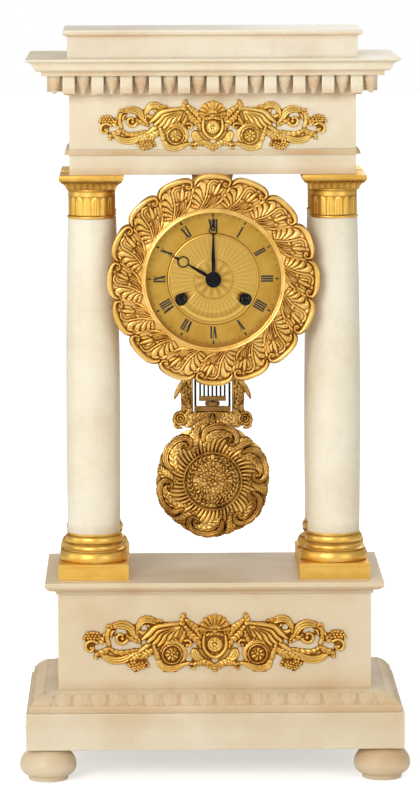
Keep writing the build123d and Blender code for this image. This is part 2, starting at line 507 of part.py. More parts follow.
# Movement plates with bearing holes, and the four pillars between them
bearings = [(0, 0, PIVOT_R), (0, PALLET_RISE, PALLET_ARBOR_R)]
bearings += [(sx * WINDING_X, -WINDING_DROP, ARBOR_PIVOT_R) for sx in (-1, 1)]
front_plate = rod_y(0, 0, PLATE_R, PLATE_FRONT_Y) + rod_y(0, MOTION_DISTANCE, PIVOT_R, (-39.9, -34))
back_plate = rod_y(0, 0, BACK_PLATE_R, PLATE_BACK_Y)
for x, z, radius in bearings:
    front_plate -= rod_y(x, z, radius + RUNNING_GAP, (-36, -32))
    back_plate -= rod_y(x, z, radius + RUNNING_GAP, (4, 8))
back_plate -= rod_y(HAMMER_X, -HAMMER_DROP, PIVOT_R + RUNNING_GAP, (4, 8))
save("movement_back_plate", back_plate)
for radius, angle in ((37.0, 38), (37.0, 142), (38.5, 258), (38.5, 282)):
    x, z = radius * math.cos(math.radians(angle)), radius * math.sin(math.radians(angle))
    front_plate += rod_y(x, z, 2.0, (PLATE_FRONT_Y[0], PLATE_BACK_Y[0]))
    front_plate += rod_y(x, z, 2.8, (-15.5, -12.5))
save("movement_front_plate", front_plate)

# Pallets on their arbor, with the crutch that meets the pendulum rod behind the back plate
anchor = rod_y(0, PALLET_RISE, PALLET_ARBOR_R, (-34.6, 12.0))
arms = Sketch() + SlotArc(ThreePointArc((-7.5, 23.5), (0, 30.8), (7.5, 23.5)), 2.2)
anchor += face_plate(arms, (-28, -26)) + rod_y(0, PALLET_RISE, 2.0, (-29, -25))
anchor += block((-1.2, 1.2), (9.5, 10.7), (DIAL_Z + 8, SUSPENSION_Z)) + rod_y(0, PALLET_RISE, 1.9, (9.5, 10.7))
anchor += rod_y(0, 10, 0.7, (10.0, 15.6))
save("pallets_and_crutch", anchor)

cock = block((-5, 5), (PLATE_BACK_Y[1], 17.4), (SUSPENSION_Z + 3.2, SUSPENSION_Z + 8))
for cheek in ((12.6, 13.8), (16.2, 17.4)):
    cock += block((-2.6, 2.6), cheek, (SUSPENSION_Z - 2.2, SUSPENSION_Z + 3.2))
save("suspension_cock", cock - rod_y(0, PALLET_RISE, PALLET_ARBOR_R + RUNNING_GAP, (12, 18)))

# Bell on its stand behind the pendulum, and the hammer beside it
stand = rod_y(-33, -20, 1.6, (PLATE_BACK_Y[1], 21.8)) + rod_y(0, 0, 1.6, (20.0, 35.6))
span = math.hypot(33, 20)
arm = Box(span, 1.8, 3.2)
stand += Pos(-16.5, 20.9, DIAL_Z - 10) * Rot(0, -math.degrees(math.atan2(20, 33)), 0) * arm
stand += rod_y(0, 0, 2.6, (29.0, 32.4)) + rod_y(0, 0, 2.6, (34.0, 35.4))
save("bell_stand", stand)
bell_edges = outline((BELL_R, 22.6), [(28.6, 29.4, 17.0, 33.0), (8.0, 34.0), (0, 34.0), (0, 32.4), (8.0, 32.4),
                                      (16.4, 31.4), (27.2, 28.6, 28.4, 22.6), (BELL_R, 22.6)])
bell = Pos(0, 0, DIAL_Z) * revolve(make_face(bell_edges), Axis.Y)
save("bell", bell - rod_y(0, 0, 1.62, (30, 36)))
head = (33.2, 2.9)
hammer = rod_y(HAMMER_X, -HAMMER_DROP, PIVOT_R, (4.6, 19.0))
lean = math.degrees(math.atan2(head[0] - HAMMER_X, head[1] + HAMMER_DROP))
arm_length = math.hypot(head[0] - HAMMER_X, head[1] + HAMMER_DROP)
tail = Rot(0, lean, 0) * Pos(0, 0, arm_length / 2) * Box(2.2, 1.8, arm_length)
hammer += Pos(HAMMER_X, 17.6, DIAL_Z - HAMMER_DROP) * tail
hammer += rod_y(HAMMER_X, -HAMMER_DROP, 2.2, (15.6, 19.0)) + rod_y(head[0], head[1], 2.5, (16.6, 28.0))
save("hammer", hammer)

# Pendulum: hook strip, gridiron of nine rods, ornament frame, rating nut and leafy bob
hook = block((-1.6, 1.6), (14.2, 15.8), (GRID_TOP_Z, SUSPENSION_Z + 1.8))
hook -= block((-0.85, 0.85), (14, 16), (DIAL_Z + 6.6, DIAL_Z + 13.4))
hook += rod_y(0, PALLET_RISE, PALLET_ARBOR_R, (12.8, 17.2))
grid = hook + block((-21.0, 21.0), (13.4, 16.6), (GRID_TOP_Z, GRID_TOP_Z + 3.2))
grid += [rod_z(i * GRID_PITCH, PENDULUM_Y, 0.65, (GRID_CROSS_Z[0], GRID_TOP_Z)) for i in range(-3, 4)]
grid += [rod_z(sx * GRID_OUTER_X, PENDULUM_Y, 0.75, (GRID_BAR_Z[0], GRID_TOP_Z)) for sx in (-1, 1)]
grid += block((-9.1, 9.1), (13.2, 16.8), GRID_CROSS_Z) + block((-12.2, 12.2), (13.2, 16.8), GRID_BAR_Z)
grid += rod_z(0, PENDULUM_Y, 0.9, (GRID_BAR_Z[0], GRID_CROSS_Z[1]))
save("pendulum_gridiron", grid)
nut = rod_z(0, PENDULUM_Y, 5.0, NUT_Z) - rod_z(0, PENDULUM_Y, 0.9 + RUNNING_GAP, NUT_Z)
save("rating_nut", nut)

upright = [(12.9, 228), (12.9, GRID_TOP_Z), (20.6, GRID_TOP_Z)]
upright += [(21.0, 250), (22.0, 243), (21.0, 236), (23.0, 228)]
side = Sketch() + Polygon(*upright, align=None)
side += Polygon((20.0, 252), (23.6, 246), (25.9, 241.6), (22.2, 242.6), (20.0, 246), align=None)
side += Pos(21.6, 228.6) * Circle(4.6)
frame = side + mirror(side, Plane.YZ) + Pos(0, 227.4) * Rectangle(48, 11.8)
save("pendulum_frame", Pos(0, 17.4, 0) * extrude(Plane.XZ * frame, 4.8, dir=(0, -1, 0)))

lobes = Circle(33.0) + [Rot(0, 0, a) * Pos(0, BOB_R - 17.8) * Circle(17.6) for a in range(30, 390, 60)]
bob = extrude(Plane.XZ * lobes, BOB_PLATE)
dome = turned((35.5, BOB_PLATE), [(31.0, 6.4, 21.0, 7.0), (20.0, 5.6), (20.0, 5.0)])
bob += Rot(90, 0, 0) * dome
scroll = SlotArc(ThreePointArc((-13.0, 27.5), (-2.0, 37.2), (10.0, 30.0)), 2.6) + Pos(7.4, 28.4) * Circle(3.0)
scrolls = Sketch() + [Rot(0, 0, a) * scroll for a in range(30, 390, 60)]
bob += extrude(Plane.XZ * scrolls, 5.4)
top_cut = block((-40, 40), (PENDULUM_Y - 5, PENDULUM_Y + 5), (221.5, 240))
bob += Rot(90, 0, 0) * turned((16.0, -BOB_PLATE), [(30.0, 0)])
bob = Pos(0, PENDULUM_Y + 1.5, BOB_Z) * bob - top_cut
save("pendulum_bob", bob - face_plate(Circle(MEDALLION_R - 0.4), (0, 11.5), 0, BOB_Z - DIAL_Z))
medal_edge = MEDALLION_R - 0.4
medal = turned((medal_edge, 5.0), [(medal_edge, 7.6), (18.6, 8.2), (17.8, 7.2),
                                   (8.0, 8.0), (6.0, 9.2), (1.0, 9.8)])
save("bob_medallion", Pos(0, PENDULUM_Y + 1.5, BOB_Z) * Rot(90, 0, 0) * medal)
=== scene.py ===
import math

import bpy
import numpy as np
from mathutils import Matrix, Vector


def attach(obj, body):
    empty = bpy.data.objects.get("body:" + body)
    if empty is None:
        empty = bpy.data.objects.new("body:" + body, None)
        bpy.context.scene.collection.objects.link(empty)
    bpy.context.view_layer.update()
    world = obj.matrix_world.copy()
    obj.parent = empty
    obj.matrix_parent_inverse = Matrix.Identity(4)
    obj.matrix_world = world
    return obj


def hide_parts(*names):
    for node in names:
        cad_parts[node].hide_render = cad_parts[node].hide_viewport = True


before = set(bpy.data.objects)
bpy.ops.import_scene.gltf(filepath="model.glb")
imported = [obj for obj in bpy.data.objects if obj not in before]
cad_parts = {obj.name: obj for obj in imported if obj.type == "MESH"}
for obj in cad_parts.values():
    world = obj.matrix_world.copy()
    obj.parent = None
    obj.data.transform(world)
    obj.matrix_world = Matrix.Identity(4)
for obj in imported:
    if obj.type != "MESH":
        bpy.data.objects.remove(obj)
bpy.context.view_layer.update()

# Four bun feet of alabaster carry the clock: a flattened ball, turned on the lathe, on a thin disc.
# The same stone runs through the whole portico, warm cream with cloudy patches, tinted orange-tan
# in a band of heights at each joint; in carved hollows, under the dentils and on the drops that tint is painted shade.
MM = 0.001
CORNERS = {"front_left": (-1, -1), "front_right": (1, -1), "back_left": (-1, 1), "back_right": (1, 1)}
PALE_STONE = ((0.87, 0.81, 0.65, 1), (0.82, 0.73, 0.54, 1))
CREAM_STONE = ((0.85, 0.76, 0.58, 1), (0.79, 0.67, 0.47, 1))
HONEY_STONE = ((0.75, 0.62, 0.425, 1), (0.68, 0.53, 0.325, 1))
WHITE_STONE = ((0.89, 0.83, 0.69, 1), (0.84, 0.76, 0.60, 1))
STONE_STAIN_AND_SHADE = (0.60, 0.37, 0.17, 1)
FOOT_X = 109.8
FOOT_Y = 59.5


def node_of(tree, kind, place, **values):
    """Adds a shader node and sets its named properties."""
    node = tree.nodes.new(kind)
    node.location = place
    for key, value in values.items():
        setattr(node, key, value)
    return node


def ramp_of(tree, place, *stops):
    """A colour ramp with the given stops of position and colour."""
    ramp = node_of(tree, "ShaderNodeValToRGB", place)
    for i, (position, colour) in enumerate(stops):
        element = ramp.color_ramp.elements[i] if i < 2 else ramp.color_ramp.elements.new(position)
        element.position = position
        element.color = colour
    return ramp


def new_group(name, inputs, outputs):
    """A shader node group with named sockets; returns the tree, its input node and output node."""
    tree = bpy.data.node_groups.new(name, "ShaderNodeTree")
    for label, kind, default in inputs:
        socket = tree.interface.new_socket(label, in_out="INPUT", socket_type="NodeSocket" + kind)
        socket.default_value = default
    for label, kind in outputs:
        tree.interface.new_socket(label, in_out="OUTPUT", socket_type="NodeSocket" + kind)
    return tree, node_of(tree, "NodeGroupInput", (-900, 0)), node_of(tree, "NodeGroupOutput", (900, 0))


def cloudy_stone_group():
    """Colour and roughness of alabaster: clouds, faint veins, a tint in a band of heights, painted shade in crevices.
    """
    tree, given, put = new_group(
        "Cloudy stone",
        [("Light", "Color", CREAM_STONE[0]), ("Warm", "Color", CREAM_STONE[1]), ("Stain and shade", "Color", STONE_STAIN_AND_SHADE),
         ("Level", "Float", 0.0), ("Spread", "Float", 0.01), ("Amount", "Float", 0.5)],
        [("Color", "Color"), ("Roughness", "Float"), ("Height", "Float")])
    link = tree.links.new
    coords = node_of(tree, "ShaderNodeTexCoord", (-900, -300))
    cloud = node_of(tree, "ShaderNodeTexNoise", (-650, 200))
    cloud.inputs["Scale"].default_value = 14.0
    cloud.inputs["Detail"].default_value = 5.0
    cloud.inputs["Distortion"].default_value = 0.8
    vein = node_of(tree, "ShaderNodeTexNoise", (-650, -50))
    vein.inputs["Scale"].default_value = 32.0
    vein.inputs["Detail"].default_value = 8.0
    vein.inputs["Distortion"].default_value = 2.2
    patch = node_of(tree, "ShaderNodeTexNoise", (-650, -300))
    patch.inputs["Scale"].default_value = 24.0
    patch.inputs["Detail"].default_value = 3.0
    for texture in (cloud, vein, patch):
        link(coords.outputs["Object"], texture.inputs["Vector"])
    cloud_ramp = ramp_of(tree, (-430, 200), (0.38, (0, 0, 0, 1)), (0.66, (1, 1, 1, 1)))
    link(cloud.outputs["Fac"], cloud_ramp.inputs["Fac"])
    body = node_of(tree, "ShaderNodeMix", (-150, 200), data_type="RGBA")
    link(cloud_ramp.outputs["Color"], body.inputs["Factor"])
    link(given.outputs["Light"], body.inputs["A"])
    link(given.outputs["Warm"], body.inputs["B"])
    vein_ramp = ramp_of(tree, (-430, -50), (0.47, (0, 0, 0, 1)), (0.5, (1, 1, 1, 1)), (0.53, (0, 0, 0, 1)))
    link(vein.outputs["Fac"], vein_ramp.inputs["Fac"])
    faint = node_of(tree, "ShaderNodeMath", (-150, -50), operation="MULTIPLY")
    faint.inputs[1].default_value = 0.09
    link(vein_ramp.outputs["Color"], faint.inputs[0])
    veined = node_of(tree, "ShaderNodeMix", (60, 150), data_type="RGBA")
    link(body.outputs["Result"], veined.inputs["A"])
    link(given.outputs["Stain and shade"], veined.inputs["B"])
    axes = node_of(tree, "ShaderNodeSeparateXYZ", (-650, -550))
    link(coords.outputs["Object"], axes.inputs[0])
    away = node_of(tree, "ShaderNodeMath", (-430, -500), operation="SUBTRACT")
    link(axes.outputs["Z"], away.inputs[0])
    link(given.outputs["Level"], away.inputs[1])
    near = node_of(tree, "ShaderNodeMath", (-260, -500), operation="DIVIDE")
    link(away.outputs[0], near.inputs[0])
    link(given.outputs["Spread"], near.inputs[1])
    squared = node_of(tree, "ShaderNodeMath", (-100, -500), operation="MULTIPLY")
    link(near.outputs[0], squared.inputs[0])
    link(near.outputs[0], squared.inputs[1])
    falling = node_of(tree, "ShaderNodeMath", (60, -500), operation="SUBTRACT", use_clamp=True)
    falling.inputs[0].default_value = 1.0
    link(squared.outputs[0], falling.inputs[1])
    peach_ramp = ramp_of(tree, (-430, -180), (0.5, (0, 0, 0, 1)), (0.8, (0.3, 0.3, 0.3, 1)))
    link(patch.outputs["Fac"], peach_ramp.inputs["Fac"])
    peach = node_of(tree, "ShaderNodeMath", (-20, -180), operation="ADD")
    link(faint.outputs[0], peach.inputs[0])
    link(peach_ramp.outputs["Color"], peach.inputs[1])
    link(peach.outputs[0], veined.inputs["Factor"])
    blot = ramp_of(tree, (-260, -280), (0.3, (0.25, 0.25, 0.25, 1)), (0.7, (1, 1, 1, 1)))
    link(patch.outputs["Fac"], blot.inputs["Fac"])
    blotted = node_of(tree, "ShaderNodeMath", (220, -400), operation="MULTIPLY")
    link(falling.outputs[0], blotted.inputs[0])
    link(blot.outputs["Color"], blotted.inputs[1])
    # The crevice attribute lays the same colour into carved hollows as painted shade.
    crevice = node_of(tree, "ShaderNodeAttribute", (60, -680), attribute_name="crevice")
    deep = node_of(tree, "ShaderNodeMath", (300, -600), operation="MAXIMUM")
    link(blotted.outputs[0], deep.inputs[0])
    link(crevice.outputs["Fac"], deep.inputs[1])
    amount = node_of(tree, "ShaderNodeMath", (450, -400), operation="MULTIPLY", use_clamp=True)
    link(deep.outputs[0], amount.inputs[0])
    link(given.outputs["Amount"], amount.inputs[1])
    stain_and_shade_mix = node_of(tree, "ShaderNodeMix", (620, 150), data_type="RGBA")
    link(amount.outputs[0], stain_and_shade_mix.inputs["Factor"])
    link(veined.outputs["Result"], stain_and_shade_mix.inputs["A"])
    link(given.outputs["Stain and shade"], stain_and_shade_mix.inputs["B"])
    rough = node_of(tree, "ShaderNodeMapRange", (620, -150))
    rough.inputs["To Min"].default_value = 0.36
    rough.inputs["To Max"].default_value = 0.55
    link(cloud.outputs["Fac"], rough.inputs["Value"])
    link(stain_and_shade_mix.outputs["Result"], put.inputs["Color"])
    link(rough.outputs["Result"], put.inputs["Roughness"])
    link(vein.outputs["Fac"], put.inputs["Height"])
    return tree


CLOUDY_STONE = cloudy_stone_group()


def new_material(name):
    """An empty material and its tree with one surface shader linked to the output."""
    material = bpy.data.materials.new(name)
    material.use_nodes = True
    tree = material.node_tree
    surface = tree.nodes["Principled BSDF"]
    return material, tree, surface


def bump_from(tree, surface, height, strength, distance):
    """Leads a height to the surface's normal."""
    bump = node_of(tree, "ShaderNodeBump", (-180, -300))
    bump.inputs["Strength"].default_value = strength
    bump.inputs["Distance"].default_value = distance
    tree.links.new(height, bump.inputs["Height"])
    tree.links.new(bump.outputs["Normal"], surface.inputs["Normal"])


def alabaster(name, level, spread, amount, stone=CREAM_STONE):
    """Polished alabaster, tinted with the stain-and-shade colour about one height by an amount from nothing to one."""
    material, tree, surface = new_material(name)
    cloud = node_of(tree, "ShaderNodeGroup", (-400, 100), node_tree=CLOUDY_STONE)
    cloud.inputs["Light"].default_value, cloud.inputs["Warm"].default_value = stone
    cloud.inputs["Level"].default_value = level * MM
    cloud.inputs["Spread"].default_value = spread * MM
    cloud.inputs["Amount"].default_value = amount
    tree.links.new(cloud.outputs["Color"], surface.inputs["Base Color"])
    tree.links.new(cloud.outputs["Roughness"], surface.inputs["Roughness"])
    bump_from(tree, surface, cloud.outputs["Height"], 0.12, 0.0004)
    surface.inputs["Subsurface Weight"].default_value = 0.22
    surface.inputs["Subsurface Radius"].default_value = (0.009, 0.006, 0.004)
    surface.inputs["Subsurface Scale"].default_value = 1.0
    surface.inputs["Coat Weight"].default_value = 0.15
    surface.inputs["Coat Roughness"].default_value = 0.25
    return material


def bow(start, middle, end, count=6):
    """Points on the arc from start through middle to end, without the start."""
    (ax, ay), (bx, by), (cx, cy) = start, middle, end
    d = 2 * (ax * (by - cy) + bx * (cy - ay) + cx * (ay - by))
    a2, b2, c2 = ax * ax + ay * ay, bx * bx + by * by, cx * cx + cy * cy
    ox = (a2 * (by - cy) + b2 * (cy - ay) + c2 * (ay - by)) / d
    oy = (a2 * (cx - bx) + b2 * (ax - cx) + c2 * (bx - ax)) / d
    radius = math.hypot(ax - ox, ay - oy)
    first = math.atan2(ay - oy, ax - ox)
    sweep = (math.atan2(cy - oy, cx - ox) - first) % (2 * math.pi)
    through = (math.atan2(by - oy, bx - ox) - first) % (2 * math.pi)
    if through > sweep:
        sweep -= 2 * math.pi
    return [(ox + radius * math.cos(first + sweep * i / count), oy + radius * math.sin(first + sweep * i / count))
            for i in range(1, count + 1)]


def profile_of(start, *steps):
    """A profile from start: a step of two numbers is a straight, of four an arc's middle and end."""
    points = [start]
    for step in steps:
        points += [step] if len(step) == 2 else bow(points[-1], step[:2], step[2:])
    return points


def raise_up(points, size):
    """Extrudes the selected bottom face up a profile; size gives its width and depth at a profile point."""
    bpy.ops.object.mode_set(mode="EDIT")
    bpy.ops.mesh.select_all(action="SELECT")
    for here, there in zip(points, points[1:]):
        lift = {"value": (0, 0, (there[1] - here[1]) * MM)}
        bpy.ops.mesh.extrude_region_move(TRANSFORM_OT_translate=lift)
        old, new = size(here), size(there)
        ratio = (new[0] / old[0], new[1] / old[1], 1)
        bpy.ops.transform.resize(value=ratio, center_override=tuple(bpy.context.object.location))
    bpy.ops.mesh.select_all(action="SELECT")
    bpy.ops.mesh.normals_make_consistent(inside=False)
    bpy.ops.object.mode_set(mode="OBJECT")


def settle(smooth_angle=32.0):
    """Puts the active object's place into its mesh and shades it smooth up to an angle."""
    piece = bpy.context.object
    bpy.ops.object.transform_apply(location=True, rotation=True, scale=True)
    bpy.ops.object.shade_smooth_by_angle(angle=math.radians(smooth_angle))
    return piece


def lathe_work(points, x, y, sides=96):
    """A round solid turned about an upright axis, its profile in radius and height."""
    bpy.ops.object.select_all(action="DESELECT")
    place = (x * MM, y * MM, points[0][1] * MM)
    bpy.ops.mesh.primitive_circle_add(vertices=sides, radius=points[0][0] * MM, fill_type="NGON", location=place)
    raise_up(points, lambda point: (point[0], point[0]))
    return settle()


def soften(piece, width, segments=2):
    """Rounds the sharp edges of a piece."""
    bevel = piece.modifiers.new("edges", "BEVEL")
    bevel.width = width * MM
    bevel.segments = segments
    bevel.limit_method = "ANGLE"
    bevel.angle_limit = math.radians(38)
    bevel.harden_normals = False
    bpy.context.view_layer.objects.active = piece
    bpy.ops.object.modifier_apply(modifier=bevel.name)
    bpy.ops.object.shade_smooth_by_angle(angle=math.radians(32))
    return piece


def fit(piece, name, body, slot, material, *stands_for):
    """Names a finished piece, gives it its material and body, and lets it stand for CAD nodes."""
    piece.name = name
    piece.data.name = name
    piece.data.materials.clear()
    piece.data.materials.append(material)
    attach(piece, body)
    if stands_for:
        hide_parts(*stands_for)
    return piece


def copy_of(piece, move):
    """A copy of a piece with its own mesh, moved in its vertices."""
    twin = piece.copy()
    twin.data = piece.data.copy()
    bpy.context.scene.collection.objects.link(twin)
    shift = np.empty(len(twin.data.vertices) * 3)
    twin.data.vertices.foreach_get("co", shift)
    shift = (shift.reshape(-1, 3) + np.array(move) * MM).ravel()
    twin.data.vertices.foreach_set("co", shift)
    twin.data.update()
    return twin


foot_stone = alabaster("foot stone", 17.0, 7.0, 0.75, HONEY_STONE)
foot_profile = profile_of((12.1, 0.02), (12.67, 0.24, 12.95, 0.8), (12.95, 3.0), (14.0, 3.2), (14.6, 3.5),
                          (17.4, 6.1, 18.6, 9.7), (16.6, 16.2, 9.6, 21.45))
foot = lathe_work(foot_profile, 0, 0)
for corner, (sx, sy) in CORNERS.items():
    turned = copy_of(foot, (sx * FOOT_X, sy * FOOT_Y, 0))
    fit(turned, "bun_foot_" + corner, "case", "alabaster", foot_stone, "foot_" + corner)
bpy.data.objects.remove(foot)

# The base plinth is one sawn and rubbed slab of alabaster with its arrises just taken off.
# It is tinted orange-tan toward its top edge.
GREY_STONE = ((0.79, 0.69, 0.51, 1), (0.72, 0.61, 0.42, 1))
plinth_stone = alabaster("plinth stone", 43.0, 10.0, 0.3, GREY_STONE)


def stone_slab(name, half_x, half_y, points, round_off):
    """A rectangular slab, raised from below along a profile of offset from its half sizes, and height."""
    bpy.ops.object.select_all(action="DESELECT")
    bpy.ops.mesh.primitive_plane_add(size=2 * MM, location=(0, 0, points[0][1] * MM))
    slab = bpy.context.object
    start = ((half_x + points[0][0]), (half_y + points[0][0]), 1)
    bpy.ops.object.mode_set(mode="EDIT")
    bpy.ops.transform.resize(value=start, center_override=tuple(slab.location))
    bpy.ops.object.mode_set(mode="OBJECT")
    raise_up(points, lambda point: (half_x + point[0], half_y + point[0]))
    slab.name = name
    return soften(settle(), round_off)


plinth = stone_slab("plinth_slab", 123.9, 73.7, [(0, 21.5), (0, 45.75)], 0.6)
fit(plinth, "plinth_slab", "case", "alabaster", plinth_stone, "base_plinth")

# The base moulding is a sloping run of alabaster carved by hand: heart leaves in pairs of round
# tongues with a slit between them, a flared dart after each, and a plain fillet underneath.
LEAF_PITCH = 23.4
SLOPE_FOOT = (18.2, 49.6)
SLOPE_HEAD = (0.0, 57.9)
moulding_stone = alabaster("moulding stone", 49.0, 6.0, 0.62, HONEY_STONE)


def grid_faces(rows, columns, closed=False):
    """Quads of a grid of points; closed joins the last row to the first."""
    i = np.arange(rows if closed else rows - 1)[:, None]
    j = np.arange(columns - 1)[None, :]
    a = i * columns + j
    b = ((i + 1) % rows) * columns + j
    return np.stack([a, b, b + 1, a + 1], axis=-1).reshape(-1, 4)


def sculpted(name, places, faces, crevice=None):
    """A piece from points in mm and faces, with its crevices noted for the stone or the gilding."""
    mesh = bpy.data.meshes.new(name)
    mesh.from_pydata((places * MM).tolist(), [], [list(map(int, face)) for face in faces])
    if crevice is not None:
        layer = mesh.attributes.new("crevice", "FLOAT", "POINT")
        layer.data.foreach_set("value", np.asarray(crevice, dtype=np.float32).ravel())
    mesh.validate()
    piece = bpy.data.objects.new(name, mesh)
    bpy.context.scene.collection.objects.link(piece)
    bpy.ops.object.select_all(action="DESELECT")
    piece.select_set(True)
    bpy.context.view_layer.objects.active = piece
    bpy.ops.object.mode_set(mode="EDIT")
    bpy.ops.mesh.select_all(action="SELECT")
    bpy.ops.mesh.normals_make_consistent(inside=False)
    bpy.ops.object.mode_set(mode="OBJECT")
    bpy.ops.object.shade_smooth_by_angle(angle=math.radians(50))
    return piece


def carved_ring(name, half_x, half_y, profile, across, step, carving):
    """A mitred rectangular ring: profile gives offset and height, carving the relief along each side."""
    profile = np.array(profile, float)
    run = np.concatenate([[0], np.cumsum(np.hypot(*np.diff(profile, axis=0).T))])
    along = np.linspace(0, run[-1], across)
    offset, height = np.interp(along, run, profile[:, 0]), np.interp(along, run, profile[:, 1])
    slope = np.stack([np.gradient(height), -np.gradient(offset)], axis=1)
    slope /= np.linalg.norm(slope, axis=1)[:, None]
    places, crevices = [], []
    for side in range(4):
        own, other = (half_x, half_y) if side % 2 == 0 else (half_y, half_x)
        count = int(2 * own / step)
        share = np.linspace(-1, 1, count, endpoint=False)[:, None]
        s = share * (own + offset[None, :])
        relief, deep = carving(s, along[None, :] + 0 * s, (own + offset[None, :]) - np.abs(s))
        out = other + offset[None, :] + relief * slope[None, :, 0]
        z = height[None, :] + relief * slope[None, :, 1]
        x, y = s * (1 + relief * slope[None, :, 0] / (own + offset[None, :]) * (np.abs(share) > 0.995)), -out
        angle = side * math.pi / 2
        cos, sin = round(math.cos(angle)), round(math.sin(angle))
        places.append(np.stack([x * cos - y * sin, x * sin + y * cos, z], axis=-1))
        crevices.append(deep)
    places, crevices = np.concatenate(places), np.concatenate(crevices)
    rows = len(places)
    faces = grid_faces(rows, across, closed=True).tolist()
    faces += [list(range(0, rows * across, across)), list(range(across - 1, rows * across, across))]
    return sculpted(name, places.reshape(-1, 3), faces, crevices.ravel())


def dome(distance, radius, lift):
    """Height of a rounded form at a distance from its middle line."""
    return lift * np.sqrt(np.clip(1 - (distance / radius) ** 2, 0, 1))


def leaf_and_dart(pitch, tongue, lift, fillet):
    """Carving of paired round-ended tongues with darts between; fillet is left plain at the foot."""
    half = pitch / 2

    def carving(s, v, to_mitre):
        v = v - fillet
        place = np.abs((s + half) % pitch - half)
        place = np.where(to_mitre < pitch * 0.34, half - 0.16 * pitch - to_mitre * 0.3, place)
        q = place - pitch / 4
        low = tongue * 0.95
        edge = np.where(v < low, np.hypot(q, v - low), np.abs(q))
        leaf = dome(edge, tongue, lift)
        rib = 0.4 * lift * np.exp(-((q / (0.16 * tongue)) ** 2)) * (v > low * 0.6)
        spread = 0.02 * tongue + 0.42 * tongue * np.exp(-np.maximum(v, 0) / (0.5 * tongue))
        dart = dome(half - place, spread + 0.15, 0.6 * lift)
        relief = np.maximum(leaf + rib * (leaf > 0), dart)
        relief = np.where((v < 0.1) | (v > 10.8), 0.7 * lift, relief)
        # deep lays the stain colour into the hollows between tongues and darts and along the line under the top band:
        # painted shade.
        deep = np.maximum(np.clip(1.2 - relief / (0.6 * lift), 0, 1) * (v > 0.1), 0.8 * np.exp(-((v - 10.6) / 0.4) ** 2))
        return relief, deep

    return carving


slope_points = [(18.2, 45.8), (18.2, 49.5), *bow((17.6, 50.0), (10.9, 54.9), (0.4, 57.3), 14)]
carved = carved_ring("carved_moulding", 102.9, 52.7, slope_points, 44, 0.62, leaf_and_dart(LEAF_PITCH, 5.5, 1.25, 4.6))
fit(carved, "carved_moulding", "case", "alabaster", moulding_stone, "base_moulding")

# The pedestal is one block of alabaster, faced flat to take the large mount. Over it lies a thin
# slab with a quarter-round worked under its edge, on which the columns stand.
pedestal_stone = alabaster("pedestal stone", 56.5, 9.0, 0.5, HONEY_STONE)
pedestal = stone_slab("pedestal_block", 102.9, 52.7, [(0, 57.5), (0, 121.5)], 0.35)
fit(pedestal, "pedestal_block", "case", "alabaster", pedestal_stone, "pedestal")
cap_stone = alabaster("cap stone", 123.0, 4.5, 0.6, HONEY_STONE)
cap_points = profile_of((1.4, 121.5), (1.4, 123.9), (2.4, 123.9), (5.6, 124.9, 8.3, 127.0), (8.3, 130.1))
cap = stone_slab("pedestal_cap_slab", 102.9, 52.7, cap_points, 0.4)
fit(cap, "pedestal_cap_slab", "case", "alabaster", cap_stone, "pedestal_cap")

# Each column stands in a base of gilt bronze, turned over a square plinth with sunk panels.
# The gilding is matte with burnished ridges; its seams and hollows are painted brown as painted shade.
COLUMN_X = 79.3
COLUMN_Y = 25.0
GILT_BRIGHT = (0.98, 0.62, 0.15, 1)
GILT_MATTE = (0.90, 0.53, 0.10, 1)
GILT_CREVICE_SHADE = (0.24, 0.10, 0.018, 1)


